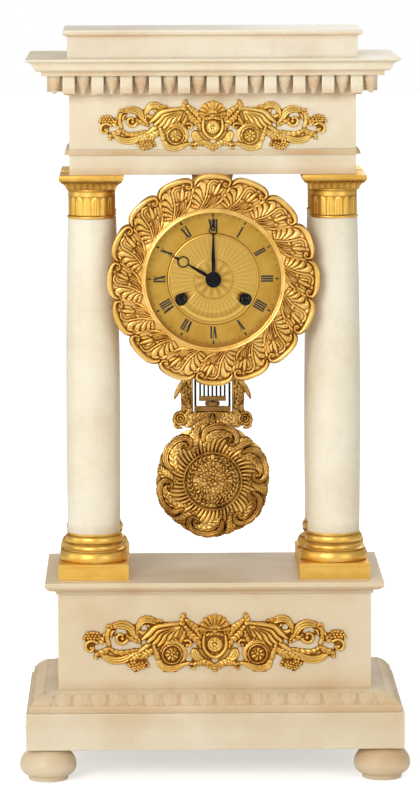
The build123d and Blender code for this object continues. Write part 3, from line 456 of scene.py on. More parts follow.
def gilding_group():
    """Colour, roughness and grain of fire gilding: matte ground, bright ridges, painted shade in brown in the crevices.
    """
    tree, given, put = new_group(
        "Fire gilding",
        [("Bright", "Color", GILT_BRIGHT), ("Matte", "Color", GILT_MATTE), ("Deep", "Color", GILT_CREVICE_SHADE),
         ("Crevice shading", "Float", 0.5)],
        [("Color", "Color"), ("Roughness", "Float"), ("Height", "Float")])
    link = tree.links.new
    coords = node_of(tree, "ShaderNodeTexCoord", (-900, -300))
    cloud = node_of(tree, "ShaderNodeTexNoise", (-650, 200))
    cloud.inputs["Scale"].default_value = 90.0
    cloud.inputs["Detail"].default_value = 6.0
    grain = node_of(tree, "ShaderNodeTexNoise", (-650, -80))
    grain.inputs["Scale"].default_value = 1400.0
    grain.inputs["Detail"].default_value = 2.0
    for texture in (cloud, grain):
        link(coords.outputs["Object"], texture.inputs["Vector"])
    crevice = node_of(tree, "ShaderNodeAttribute", (-650, -400), attribute_name="crevice")
    spread = ramp_of(tree, (-430, 200), (0.36, (0, 0, 0, 1)), (0.64, (1, 1, 1, 1)))
    link(cloud.outputs["Fac"], spread.inputs["Fac"])
    ground = node_of(tree, "ShaderNodeMix", (-150, 200), data_type="RGBA")
    link(spread.outputs["Color"], ground.inputs["Factor"])
    link(given.outputs["Bright"], ground.inputs["A"])
    link(given.outputs["Matte"], ground.inputs["B"])
    patch = node_of(tree, "ShaderNodeMapRange", (-150, -150))
    patch.inputs["To Min"].default_value = 0.4
    patch.inputs["To Max"].default_value = 1.5
    link(cloud.outputs["Fac"], patch.inputs["Value"])
    toned = node_of(tree, "ShaderNodeMath", (60, -150), operation="MULTIPLY")
    link(patch.outputs["Result"], toned.inputs[0])
    link(given.outputs["Crevice shading"], toned.inputs[1])
    deep = node_of(tree, "ShaderNodeMath", (240, -250), operation="MULTIPLY", use_clamp=True)
    link(toned.outputs[0], deep.inputs[0])
    link(crevice.outputs["Fac"], deep.inputs[1])
    colour = node_of(tree, "ShaderNodeMix", (450, 150), data_type="RGBA")
    link(deep.outputs[0], colour.inputs["Factor"])
    link(ground.outputs["Result"], colour.inputs["A"])
    link(given.outputs["Deep"], colour.inputs["B"])
    rough = node_of(tree, "ShaderNodeMapRange", (240, -450))
    rough.inputs["To Min"].default_value = 0.3
    rough.inputs["To Max"].default_value = 0.48
    link(cloud.outputs["Fac"], rough.inputs["Value"])
    dull = node_of(tree, "ShaderNodeMath", (450, -350), operation="ADD", use_clamp=True)
    link(rough.outputs["Result"], dull.inputs[0])
    lessen = node_of(tree, "ShaderNodeMath", (340, -600), operation="MULTIPLY")
    lessen.inputs[1].default_value = 0.25
    link(crevice.outputs["Fac"], lessen.inputs[0])
    link(lessen.outputs[0], dull.inputs[1])
    link(colour.outputs["Result"], put.inputs["Color"])
    link(dull.outputs[0], put.inputs["Roughness"])
    link(grain.outputs["Fac"], put.inputs["Height"])
    return tree


FIRE_GILDING = gilding_group()


def gilt(name, crevice_shading=0.9, bright=GILT_BRIGHT, matte=GILT_MATTE, deep=GILT_CREVICE_SHADE, grain=0.25):
    """Gilt bronze, darkened in its crevices by an amount as painted shade, over a fine matte grain."""
    material, tree, surface = new_material(name)
    skin = node_of(tree, "ShaderNodeGroup", (-400, 100), node_tree=FIRE_GILDING)
    skin.inputs["Bright"].default_value = bright
    skin.inputs["Matte"].default_value = matte
    skin.inputs["Deep"].default_value = deep
    skin.inputs["Crevice shading"].default_value = crevice_shading
    tree.links.new(skin.outputs["Color"], surface.inputs["Base Color"])
    tree.links.new(skin.outputs["Roughness"], surface.inputs["Roughness"])
    bump_from(tree, surface, skin.outputs["Height"], grain, 0.00006)
    surface.inputs["Metallic"].default_value = 1.0
    return material


ormolu = gilt("matte ormolu")
base_rings = profile_of((21.7, 140.4), (22.4, 143.2, 20.9, 147.5), (20.0, 147.55), (20.0, 148.3), (18.7, 148.9, 18.1, 151.6),
                        (18.6, 151.7), (18.6, 152.6), (18.2, 152.75), (19.0, 155.0, 18.1, 157.4), (17.6, 157.5), (17.5, 159.2))
base_block = [(0, 130.1), (0, 139.6), (-0.7, 140.4)]


def shade_seams(piece, *heights, reach=0.45, amount=0.85):
    """Notes the seams between turned members, where the gilding is painted brown as painted shade."""
    mesh = piece.data
    places = np.empty(len(mesh.vertices) * 3)
    mesh.vertices.foreach_get("co", places)
    away = np.abs(places[2::3][:, None] / MM - np.array(heights)[None, :]).min(axis=1)
    layer = mesh.attributes.new("crevice", "FLOAT", "POINT")
    layer.data.foreach_set("value", (amount * np.exp(-((away / reach) ** 2))).astype(np.float32))
    return piece


def framed_panels(block, centre, half, low, high, margin, sink):
    """Sinks a framed panel into each upright face of a square block."""
    bpy.context.view_layer.objects.active = block
    bpy.ops.object.mode_set(mode="EDIT")
    bpy.ops.mesh.select_all(action="DESELECT")
    bpy.ops.mesh.select_mode(type="FACE")
    bpy.ops.object.mode_set(mode="OBJECT")
    for face in block.data.polygons:
        middle = face.center / MM
        upright = abs(face.normal.z) < 0.1 and low < middle.z < high
        flat = max(abs(face.normal.x), abs(face.normal.y)) > 0.99
        face.select = upright and flat and face.area > (half * half * 0.5) * MM * MM
    bpy.ops.object.mode_set(mode="EDIT")
    bpy.ops.mesh.inset(thickness=margin * MM, use_individual=True)
    bpy.ops.mesh.inset(thickness=0.35 * MM, depth=-sink * MM, use_individual=True)
    bpy.ops.object.mode_set(mode="OBJECT")


for corner, (sx, sy) in CORNERS.items():
    rings = shade_seams(lathe_work(base_rings, sx * COLUMN_X, sy * COLUMN_Y, 88), 140.4, 147.6, 151.6, 152.7, 157.5)
    bpy.ops.object.select_all(action="DESELECT")
    place = (sx * COLUMN_X * MM, sy * COLUMN_Y * MM, base_block[0][1] * MM)
    bpy.ops.mesh.primitive_plane_add(size=46.2 * MM, location=place)
    raise_up(base_block, lambda point: (23.1 + point[0], 23.1 + point[0]))
    block = settle()
    framed_panels(block, place, 4.0, 131.0, 139.0, 1.1, 0.16)
    bpy.ops.object.select_all(action="DESELECT")
    rings.select_set(True)
    block.select_set(True)
    bpy.context.view_layer.objects.active = block
    bpy.ops.object.join()
    bpy.ops.object.shade_smooth_by_angle(angle=math.radians(32))
    fit(block, "gilt_base_" + corner, "case", "gilt_bronze", ormolu, "column_base_" + corner)

# The four shafts are turned alabaster with a slight swelling, paler and cloudier than the blocks.
# Each slips over an iron rod and is clamped between its base and its capital.
shaft_stone = alabaster("shaft stone", 159.0, 7.0, 0.4, PALE_STONE)
shaft_points = profile_of((17.1, 159.2), (17.6, 235.0, 15.6, 367.0))
shaft_points = [shaft_points[0], *bow(shaft_points[0], (17.6, 235.0), (15.6, 367.0), 28)]
for corner, (sx, sy) in CORNERS.items():
    shaft = lathe_work(shaft_points, sx * COLUMN_X, sy * COLUMN_Y, 96)
    fit(shaft, "shaft_" + corner, "case", "alabaster", shaft_stone, "column_" + corner)

# The capitals are cast and gilt like the bases: a bright bead, a band of upright leaves in low
# relief, a plain neck, a square carved cushion and a flat abacus that takes the architrave.
LEAVES_ROUND = 16
neck_rings = profile_of((15.4, 367.0), (16.15, 368.0, 15.4, 369.0), (15.0, 369.1), (14.8, 369.5), (14.8, 381.2), (15.35, 381.3),
                        (15.35, 382.2), (15.35, 384.2), (15.35, 385.0), (15.6, 385.1), (15.95, 385.7, 15.6, 386.3))


def leaf_band(centre, radius, low, high):
    """Upright pointed leaves in low relief round a neck, finely ribbed."""
    across, up = 20 * LEAVES_ROUND, 22
    turn = np.arange(across) / across * 2 * math.pi
    pitch = 2 * math.pi * radius / LEAVES_ROUND
    place = np.abs((turn * radius) % pitch - pitch / 2)[:, None]
    share = np.linspace(0, 1, up)[None, :]
    reach = 0.47 * pitch * np.where(share < 0.6, 1, np.sqrt(np.clip(1 - ((share - 0.6) / 0.42) ** 2, 0.02, 1)))
    leaf = dome(place, reach, 0.34) + 0.16 * np.exp(-((place / 0.3) ** 2)) * (share < 0.97)
    ribs = 0.07 * np.cos(2 * math.pi * place / 0.98) * (place < 0.85 * reach)
    relief = leaf + ribs
    r = radius + relief
    x = centre[0] + r * np.cos(turn)[:, None]
    y = centre[1] + r * np.sin(turn)[:, None]
    z = low + (high - low) * share + 0 * r
    # deep paints the ground between the leaves darker: painted shade.
    deep = np.clip(0.5 - relief / 0.4, 0, 0.5)
    faces = grid_faces(across, up, closed=True).tolist()
    faces += [list(range(0, across * up, up)), list(range(up - 1, across * up, up))]
    return sculpted("leaf band", np.stack([x, y, z], axis=-1).reshape(-1, 3), faces, deep.ravel())


def cushion_leaves(s, v, to_mitre):
    """Low water leaves on the square cushion, each with a midrib, painted darker all over and most between the leaves
    as painted shade.
    """
    place = np.abs((s + 2.05) % 4.1 - 2.05)
    edge = np.where(v < 2.2, np.hypot(place, v - 2.2), place)
    relief = dome(edge, 1.95, 0.42) + 0.18 * np.exp(-((place / 0.3) ** 2))
    relief = np.where(to_mitre < 0.9, 0.42, relief)
    return relief, np.clip(0.8 - 0.75 * relief, 0.3, 0.8)


cushion_points = [(-5.4, 386.3), *bow((-5.3, 386.4), (-4.2, 389.4), (-1.2, 391.5), 12)]
cushion = carved_ring("cushion", 20.95, 20.95, cushion_points, 22, 0.34, cushion_leaves)
for corner, (sx, sy) in CORNERS.items():
    centre = (sx * COLUMN_X, sy * COLUMN_Y)
    neck = shade_seams(lathe_work(neck_rings, *centre, 80), 369.2, 381.25, 385.05)
    leaves = leaf_band(centre, 14.85, 369.5, 381.2)
    pillow = copy_of(cushion, (*centre, 0))
    bpy.ops.object.select_all(action="DESELECT")
    place = (centre[0] * MM, centre[1] * MM, 391.5 * MM)
    bpy.ops.mesh.primitive_plane_add(size=2 * 19.8 * MM, location=place)
    raise_up([(19.8, 391.5), (19.8, 392.1), (20.95, 392.25), (20.95, 394.9), (20.7, 395.0), (20.7, 395.7)],
             lambda point: (point[0], point[0]))
    abacus = shade_seams(soften(settle(), 0.2), 391.6, 392.15)
    for part in (neck, leaves, pillow, abacus):
        part.select_set(True)
    bpy.context.view_layer.objects.active = abacus
    bpy.ops.object.join()
    fit(abacus, "gilt_capital_" + corner, "case", "gilt_bronze", ormolu, "capital_" + corner)
bpy.data.objects.remove(cushion)

# The architrave is one long block of alabaster laid over the capitals. A thin band of the same
# stone lies on it, flush in front and turned outward at both ends in a rounded strip.
beam_stone = alabaster("beam stone", 396.0, 5.0, 0.4)
band_stone = alabaster("band stone", 410.0, 4.0, 1.0)
architrave = stone_slab("architrave_block", 93.5, 36.3, [(0, 395.7), (0, 408.3)], 0.3)
fit(architrave, "architrave_block", "case", "alabaster", beam_stone, "architrave")
band = stone_slab("band", 93.5, 36.4, [(0.1, 408.3), (0.3, 408.6), (0.3, 411.6), (0, 412.3)], 0.15)
strip = stone_slab("strip", 2.2, 32.3, [(0, 408.3), (0, 409.4), (-0.3, 410.6), (-1.3, 411.7), (-2.0, 412.25)], 0.15)
ends = [copy_of(strip, (side * 94.6, 4.0, 0)) for side in (-1, 1)]
bpy.data.objects.remove(strip)


def join(parts, smooth_angle=32.0):
    """Joins finished parts into the first one."""
    bpy.ops.object.select_all(action="DESELECT")
    for part in parts:
        part.select_set(True)
    bpy.context.view_layer.objects.active = parts[0]
    bpy.ops.object.join()
    bpy.ops.object.shade_smooth_by_angle(angle=math.radians(smooth_angle))
    return parts[0]


fit(join([band, *ends]), "architrave_strip", "case", "alabaster", band_stone, "architrave_band")

# The frieze is a plain block of alabaster that carries the smaller of the two mounts.
# It is the whitest stone of the clock, with a little amber at its top edge.
frieze_stone = alabaster("frieze stone", 448.5, 6.0, 0.45)
frieze = stone_slab("frieze_block", 93.5, 36.3, [(0, 412.3), (0, 447.8)], 0.3)
fit(frieze, "frieze_block", "case", "alabaster", frieze_stone, "frieze")

# The dentil course is sawn from one block: eleven teeth in front and three on each side.
# The lower part of the course, teeth and gaps alike, is painted orange as painted shade under the cornice.
DENTIL_PITCH = 18.66
dentil_stone = alabaster("dentil stone", 447.5, 7.0, 0.8)
course = [stone_slab("course", 96.9, 39.7, [(0, 447.8), (0, 461.0)], 0.25)]


def tooth(x, y):
    """One dentil between two limits across and two limits deep."""
    bpy.ops.object.select_all(action="DESELECT")
    middle = (sum(x) / 2 * MM, sum(y) / 2 * MM, (449.4 + 461.0) / 2 * MM)
    bpy.ops.mesh.primitive_cube_add(size=1, location=middle)
    bpy.context.object.scale = ((x[1] - x[0]) * MM, (y[1] - y[0]) * MM, 11.6 * MM)
    return soften(settle(), 0.45)


for i in range(-5, 6):
    course.append(tooth((i * DENTIL_PITCH - 4, i * DENTIL_PITCH + 4), (-50.8, -39.4)))
for i in (-1, 0, 1):
    for side in (-1, 1):
        limits = sorted((side * 96.6, side * 108.0))
        course.append(tooth(limits, (i * DENTIL_PITCH - 4, i * DENTIL_PITCH + 4)))
fit(join(course), "dentil_teeth", "case", "alabaster", dentil_stone, "dentil_course")

# A little ribbed drop hangs between each pair of dentils, turned from alabaster like a beehive
# and glued up under the cornice. They are painted amber almost all over, as painted shade between the dentils.
drop_stone = alabaster("drop stone", 454.0, 8.0, 0.95)
drop_profile = [(0.4, 449.2), (1.1, 449.4), (1.5, 450.0), (1.45, 450.7), (2.0, 451.0), (2.35, 451.7), (2.2, 452.3),
                (2.75, 452.6), (3.05, 453.2), (2.9, 453.9), (3.35, 454.2), (3.65, 454.9), (3.5, 455.6), (3.85, 455.9),
                (4.05, 456.6), (3.9, 457.3), (4.15, 457.6), (4.35, 458.3), (4.35, 460.95)]
drop = lathe_work(drop_profile, 0, 0, 26)
drops = []
for x in [(i + 0.5) * DENTIL_PITCH for i in range(-5, 5)]:
    drops.append(copy_of(drop, (x, -45.4, 0)))
for side in (-1, 1):
    for y in (-45.4, -28.0, -9.33, 9.33, 28.0, 45.4):
        drops.append(copy_of(drop, (side * 102.6, y, 0)))
bpy.data.objects.remove(drop)
fit(join(drops), "ribbed_drops", "case", "alabaster", drop_stone, "dentil_pendants")

# The cornice is a broad slab with a hollow and a round worked under its edge, the attic above it
# a plain block under a thin moulded lid. Both are cream stone with a faint yellow cast.
cornice_stone = alabaster("cornice stone", 462.0, 3.5, 0.7)
cornice_points = profile_of((17.5, 461.0), (17.5, 463.9), (19.1, 464.1), (21.2, 464.7, 22.3, 466.4),
                            (23.0, 468.2, 24.3, 469.6), (27.7, 470.9), (27.7, 472.1))
cornice = stone_slab("cornice_slab", 93.5, 36.3, cornice_points, 0.3)
fit(cornice, "cornice_slab", "case", "alabaster", cornice_stone, "cornice")
attic_stone = alabaster("attic stone", 486.5, 3.0, 0.4, WHITE_STONE)
attic_points = profile_of((0, 472.1), (0, 486.2), (1.2, 486.2), (2.4, 486.8, 3.0, 487.8), (3.0, 489.5), (2.6, 490.0))
attic = stone_slab("attic_block", 94.5, 37.4, attic_points, 0.25)
fit(attic, "attic_block", "case", "alabaster", attic_stone, "attic")

# Two gilt mounts of one model are pinned to the pedestal and, smaller, to the frieze: a palmette
# over a cartouche, acanthus leaves, volutes and bunches of grapes, cast and chased, and pierced.
def relief_field(x, y):
    """An empty relief over given places; inside is positive where there is metal."""
    return {"x": x, "y": y, "height": np.zeros_like(x), "inside": np.full_like(x, -9.0)}


def smooth_run(rows, count):
    """Points of a smooth run through rows of x, y and half width."""
    p = np.array([row if len(row) == 3 else (*row, 1.0) for row in rows], float)
    p = np.concatenate([[2 * p[0] - p[1]], p, [2 * p[-1] - p[-2]]])
    t = np.linspace(0, len(rows) - 1, count)
    i = np.minimum(t.astype(int), len(rows) - 2)
    f = (t - i)[:, None]
    a, b, c, d = p[i], p[i + 1], p[i + 2], p[i + 3]
    run = 0.5 * (2 * b + (c - a) * f + (2 * a - 5 * b + 4 * c - d) * f**2 + (3 * b - a - 3 * c + d) * f**3)
    run[:, 2] = np.maximum(run[:, 2], 0.06)
    return run


def lay(field, rows, lift, edge=0.35, grooves=0, lobes=0, slant=0.7, depth=0.3, count=60, period=0, undercut=0.4):
    """Lays a rounded strap, a fluted one or a lobed leaf along a run, over what is there already."""
    run = smooth_run(rows, count)
    reach = run[:, 2].max()
    tangent = np.gradient(run[:, :2], axis=0)
    tangent /= np.linalg.norm(tangent, axis=1)[:, None] + 1e-9
    for shift in (-period, 0, period) if period else (0,):
        cx, cy = run[:, 0] + shift, run[:, 1]
        box = (field["x"] > cx.min() - reach) & (field["x"] < cx.max() + reach)
        box &= (field["y"] > cy.min() - reach) & (field["y"] < cy.max() + reach)
        if not box.any():
            continue
        dx, dy = field["x"][box][:, None] - cx, field["y"][box][:, None] - cy
        distance = np.hypot(dx, dy)
        near = np.argmin(distance - run[:, 2], axis=1)
        row = np.arange(len(near))
        away, width = distance[row, near], run[near, 2]
        across = (dx[row, near] * -tangent[near, 1] + dy[row, near] * tangent[near, 0]) / width
        t = np.clip(away / width, 0, 1)
        body = edge + (1 - edge) * np.sqrt(np.clip(1 - t * t, 0, 1))
        if grooves:
            body *= 0.62 + 0.38 * np.abs(np.cos(math.pi / 2 * grooves * across))
        if lobes:
            wave = np.abs(np.sin(math.pi * (lobes * near / (count - 1) - slant * t)))
            width = width * (1 - depth * (1 - wave))
            rib = 0.35 * np.exp(-((t / 0.16) ** 2))
            body = (edge + (1 - edge) * (0.45 + 0.55 * wave**0.7) * (1 - 0.45 * t * t)) * 0.8 + rib
        metal = width - away
        height, inside = field["height"][box], field["inside"][box]
        # Round each new piece the relief beneath is sunk a little; cast_relief paints that groove darker, as a
        # painted-shade outline.
        height = np.where((metal <= 0) & (metal > -undercut), 0.55 * height, height)
        field["height"][box] = np.where(metal > 0, lift * body, height)
        field["inside"][box] = np.maximum(inside, metal)


def bead(field, x, y, radius, lift, period=0):
    """A round bead in relief."""
    for shift in (-period, 0, period) if period else (0,):
        away = np.hypot(field["x"] - x - shift, field["y"] - y)
        high = lift * (0.25 + 0.75 * np.sqrt(np.clip(1 - (away / radius) ** 2, 0, 1)))
        field["height"] = np.where(away < radius, high, field["height"])
        field["inside"] = np.maximum(field["inside"], radius - away)


def curl(x, y, r0, r1, a0, a1, w0, w1, count=12):
    """Rows of a spiral about a point, from one radius, angle and half width to another."""
    rows = []
    for i in range(count):
        f = i / (count - 1)
        r, a = r0 + (r1 - r0) * f, math.radians(a0 + (a1 - a0) * f)
        rows.append((x + r * math.cos(a), y + r * math.sin(a), w0 + (w1 - w0) * f))
    return rows


def smoothed(values, reach, around=False):
    """Running mean of a relief over some cells each way."""
    padded = np.pad(values, ((reach, reach), (reach, reach)), mode="edge")
    if around:
        padded[:reach, reach:-reach], padded[-reach:, reach:-reach] = values[-reach:], values[:reach]
    rows = sum(padded[k:k + values.shape[0], :] for k in range(2 * reach + 1)) / (2 * reach + 1)
    return sum(rows[:, k:k + values.shape[1]] for k in range(2 * reach + 1)) / (2 * reach + 1)


def hollows(height, reach, scale, around=False):
    """How deep each point lies among its neighbours, from nothing to one."""
    return np.clip((smoothed(height, reach, around) - height) / scale, 0, 1)


def cast_relief(name, field, step, place, back):
    """A pierced casting from a relief on a square grid; place turns x, y and height into a point."""
    inside, height = field["inside"], smoothed(field["height"], 1) * 0.4 + field["height"] * 0.6
    height = np.where(inside > 0, height, 0.15)
    keep = (inside[:-1, :-1] + inside[1:, :-1] + inside[:-1, 1:] + inside[1:, 1:]) > 0
    gx, gy = np.gradient(inside, step)
    steep = np.maximum(gx * gx + gy * gy, 0.3)
    pull = np.where(inside < 0, np.clip(-inside / steep, 0, 1.2 * step), 0)
    x, y = field["x"] + gx * pull, field["y"] + gy * pull
    rows, columns = inside.shape
    i, j = np.nonzero(keep)
    quad = np.stack([i * columns + j, (i + 1) * columns + j, (i + 1) * columns + j + 1, i * columns + j + 1], axis=1)
    edges = np.concatenate([quad[:, [k, (k + 1) % 4]] for k in range(4)])
    key = np.sort(edges, axis=1) @ np.array([rows * columns, 1])
    _, first, count = np.unique(key, return_index=True, return_counts=True)
    rim = edges[first[count == 1]]
    shift = rows * columns
    wall = np.stack([rim[:, 1], rim[:, 0], rim[:, 0] + shift, rim[:, 1] + shift], axis=1)
    faces = np.concatenate([quad, quad[:, ::-1] + shift, wall])
    points = np.concatenate([place(x, y, height).reshape(-1, 3), place(x, y, 0 * height + back).reshape(-1, 3)])
    # Painted shade for the gilding: the low ground, the hollows among the relief, and the walls and back are marked
    # darker.
    low = 0.5 * np.clip(1 - field["height"] / 1.1, 0, 1)
    deep = np.concatenate([np.clip(hollows(field["height"], 3, 0.5) + low, 0, 1).ravel(), np.full(shift, 0.45)])
    used = np.unique(faces)
    fresh = np.zeros(len(points), int)
    fresh[used] = np.arange(len(used))
    return sculpted(name, points[used], fresh[faces], deep[used])


MOUNT_STEP = 0.36


def grapes(field, places, radius, lift):
    """A bunch of berries."""
    for x, y in places:
        bead(field, x, y, radius, lift)


def rosette(field, x, y, radius):
    """A flower of eight petals round a bud, on a sunk disc."""
    bead(field, x, y, 1.3 * radius, 1.0)
    for turn in range(12, 372, 45):
        c, s = math.cos(math.radians(turn)), math.sin(math.radians(turn))
        lay(field, [(x + 0.3 * radius * c, y + 0.3 * radius * s, 0.2 * radius),
                    (x + 0.74 * radius * c, y + 0.74 * radius * s, 0.36 * radius)], 2.7, edge=0.2, count=12, undercut=0.15)
        bead(field, x + 0.84 * radius * c, y + 0.84 * radius * s, 0.18 * radius, 3.1)
    bead(field, x, y, 0.3 * radius, 3.2)


def foliate_relief():
    """The left half of the mount's design, mirrored to the right. Millimetres from its centre."""
    x, y = np.meshgrid(np.arange(-88, 88 + MOUNT_STEP, MOUNT_STEP), np.arange(-21, 21, MOUNT_STEP), indexing="ij")
    f = relief_field(x, y)
    lay(f, [(-73.9, -9.0, 1.5), (-70.8, -11.5, 2.3), (-65.9, -13.1, 2.7), (-60.4, -12.6, 2.7),
            (-54.2, -9.7, 2.4), (-48.0, -6.2, 1.9), (-43.1, -2.1, 1.5)],
        2.2, grooves=3)
    lay(f, [(-70.0, -3.9, 1.1), (-67.3, -6.2, 1.6), (-63.9, -7.6, 1.9), (-59.0, -7.7, 1.9),
            (-54.9, -6.6, 1.4), (-51.4, -5.8, 1.1)],
        2.4, lobes=6)
    lay(f, [(-69.1, -2.7, 1.1), (-71.5, -6.2, 2.1), (-74.9, -7.6, 2.1), (-77.7, -9.0, 1.8),
            (-78.4, -11.1, 1.1)],
        2.6, lobes=4)
    bead(f, -78.0, -11.1, 1.4, 3.0)
    lay(f, curl(-81.3, -4.1, 4.8, 1.4, 40, 385, 1.3, 0.8), 2.5)
    bead(f, -81.3, -4.4, 1.4, 3.2)
    grapes(f, [(-83.5, 5.2), (-81.3, 5.6), (-79.2, 5.7), (-77.1, 5.2), (-84.6, 3.5), (-82.5, 3.7),
               (-80.3, 3.8), (-78.2, 3.7), (-76.0, 3.4), (-85.6, 1.8), (-83.4, 1.9), (-81.3, 2.1),
               (-79.1, 2.0), (-77.0, 1.7), (-74.9, 2.1), (-74.0, 0.6), (-75.9, 0.1)], 1.2, 2.8)
    lay(f, [(-74.5, -0.7, 1.8), (-72.9, 2.2, 1.6), (-71.7, 5.2, 1.4), (-70.0, 8.9, 1.6)], 2.2, lobes=4)
    lay(f, [(-69.5, -2.1, 1.6), (-70.6, 1.5, 1.6), (-70.0, 5.6, 1.6), (-67.9, 9.0, 1.8), (-64.2, 10.5, 2.4),
            (-59.7, 10.7, 2.9), (-55.9, 9.0, 2.9), (-53.4, 5.6, 2.6), (-51.6, 2.1, 1.9), (-49.6, -0.3, 1.6)],
        2.7, grooves=3)
    lay(f, [(-65.3, 7.4, 0.6), (-67.3, 6.0, 1.1), (-68.2, 2.9, 0.8)], 2.9)
    lay(f, [(-70.2, 10.2, 1.3), (-68.6, 10.2, 1.4), (-67.3, 9.0, 0.8)], 3.1, lobes=2)
    lay(f, curl(-61.5, 2.1, 4.4, 2.1, 5, -300, 1.4, 1.1), 2.4)
    bead(f, -60.6, 1.8, 1.6, 3.2)
    lay(f, [(-57.7, 3.5, 1.0), (-55.2, 1.7, 1.6), (-52.1, -0.2, 1.3), (-49.4, -1.4, 0.9)], 2.8, lobes=3)
    lay(f, [(-40.4, -5.5, 1.5), (-43.1, -7.6, 2.7), (-46.6, -9.8, 2.7), (-49.4, -11.1, 1.5)], 2.3, lobes=5)
    lay(f, [(-49.4, -9.0, 1.1), (-52.1, -11.1, 2.1), (-54.9, -12.5, 1.3)], 2.2, lobes=3)
    grapes(f, [(-56.8, -15.2), (-54.9, -14.5), (-52.9, -14.2), (-55.6, -16.6), (-53.6, -16.1),
               (-51.7, -15.7), (-49.8, -15.0), (-47.7, -14.5), (-54.2, -18.0), (-52.2, -17.7),
               (-50.3, -17.0), (-48.4, -16.4), (-46.4, -15.9), (-44.6, -14.6), (-52.7, -19.1),
               (-50.7, -18.7), (-48.8, -18.1), (-46.9, -17.5), (-43.8, -16.4)], 1.2, 3.0)
    lay(f, [(-50.2, 5.6, 1.4), (-50.2, 9.6, 1.9), (-47.3, 13.5, 2.4), (-43.2, 14.2, 2.6), (-39.4, 12.8, 2.1),
            (-36.4, 10.8, 1.4)],
        2.5, grooves=3)
    lay(f, [(-49.4, 6.5, 1.0), (-46.6, 5.1, 1.8), (-43.2, 6.1, 1.4), (-42.2, 8.4, 1.0), (-43.9, 10.3, 1.0)],
        2.0)
    lay(f, [(-39.7, 13.5, 0.7), (-37.3, 13.5, 1.3), (-34.7, 13.1, 1.0)], 2.9, lobes=2)
    bead(f, -34.9, 13.1, 1.0, 3.2)
    lay(f, [(-25.5, 5.6, 1.3), (-26.9, 3.0, 2.4), (-28.5, 0.5, 2.4), (-31.4, -1.4, 1.3)], 2.2, lobes=4)
    lay(f, [(-22.8, 11.7, 1.1), (-23.9, 9.0, 1.5), (-25.5, 5.4, 1.9), (-27.0, 2.1, 2.0), (-28.5, -0.4, 1.4)],
        2.2, edge=0.2)
    lay(f, [(-22.8, 11.7, 1.1), (-25.2, 9.1, 1.5), (-28.1, 5.6, 1.9), (-30.4, 1.7, 2.0), (-32.8, -1.4, 1.4)],
        2.5, edge=0.2)
    lay(f, [(-22.8, 11.7, 1.1), (-27.0, 8.9, 1.5), (-31.8, 5.2, 1.9), (-34.3, 0.7, 2.0), (-36.8, -2.9, 1.4)],
        2.7, edge=0.2)
    lay(f, [(-22.8, 11.7, 1.1), (-28.5, 9.1, 1.5), (-34.9, 5.6, 1.9), (-37.6, 1.3, 2.0), (-40.4, -2.2, 1.4)],
        2.9, edge=0.2)
    lay(f, [(-22.8, 11.7, 1.1), (-29.8, 9.5, 1.5), (-37.3, 6.5, 1.9), (-40.6, 2.5, 2.0), (-43.8, -0.5, 1.4)],
        3.1, edge=0.2)
    lay(f, [(-22.8, 11.7, 1.1), (-30.5, 10.8, 1.5), (-38.7, 9.1, 1.9), (-43.0, 4.9, 2.0), (-47.3, 1.4, 1.4)],
        3.3, edge=0.2)
    lay(f, [(-26.1, 1.4, 0.6), (-24.8, -0.1, 1.1), (-23.8, -1.0, 0.6)], 3.0)
    lay(f, [(-19.7, 8.9, 1.1), (-21.4, 12.5, 2.1), (-20.7, 15.6, 2.1), (-20.0, 17.6, 1.1)], 2.9, lobes=4)
    lay(f, [(-18.3, 13.5, 1.4), (-16.2, 11.4, 2.1), (-13.1, 9.0, 2.6), (-10.7, 5.7, 2.4), (-9.3, 1.6, 1.4)],
        2.6, lobes=6)
    lay(f, [(-19.0, 8.9, 1.4), (-17.2, 5.7, 2.3), (-14.8, 3.0, 2.6), (-11.4, -0.2, 2.3), (-9.3, -4.0, 1.4)],
        3.0, lobes=6)
    lay(f, [(-20.0, 5.6, 1.1), (-20.7, 2.6, 1.9), (-22.1, -0.2, 1.8), (-23.8, -1.8, 1.1)], 2.7, lobes=4)
    lay(f, curl(-17.6, -2.2, 2.8, 1.0, 130, -150, 1.1, 0.8), 2.8)
    bead(f, -17.6, -2.4, 1.0, 3.3)
    lay(f, [(-39.7, -3.8, 1.1), (-38.6, -7.6, 1.8), (-37.5, -11.8, 1.9), (-35.5, -16.0, 1.3)], 2.2, lobes=5)
    lay(f, [(-35.2, -6.9, 1.1), (-33.5, -3.5, 1.1), (-30.0, -1.4, 1.4), (-25.9, -1.7, 1.8),
            (-22.0, -4.0, 1.9), (-20.0, -7.5, 1.9), (-20.3, -11.6, 1.6), (-22.4, -14.4, 1.1)],
        2.6, grooves=2)
    lay(f, curl(-28.1, -9.0, 5.8, 5.8, 0, 360, 1.1, 1.1), 2.3, count=90)
    rosette(f, -28.1, -9.0, 4.4)
    lay(f, [(-36.2, -14.4, 1.8), (-34.8, -17.0, 2.3), (-31.0, -18.6, 2.3), (-26.9, -18.4, 2.3),
            (-22.7, -16.7, 1.9), (-18.9, -15.4, 1.3), (-15.5, -15.0, 1.2)],
        2.5, grooves=3)
    lay(f, curl(-15.0, -17.5, 2.1, 0.7, 110, -190, 1.0, 0.6), 2.8)
    bead(f, -15.0, -17.7, 0.8, 3.2)
    lay(f, [(-8.6, -12.5, 1.8), (-11.3, -11.4, 2.9), (-13.1, -8.9, 3.2), (-13.4, -6.8, 1.8)], 2.5, grooves=4)
    lay(f, [(-12.6, -15.3, 1.5), (-9.9, -15.4, 1.9), (-6.5, -14.7, 2.6), (-3.0, -16.3, 2.7),
            (0.1, -18.1, 2.1)],
        2.7, lobes=6)
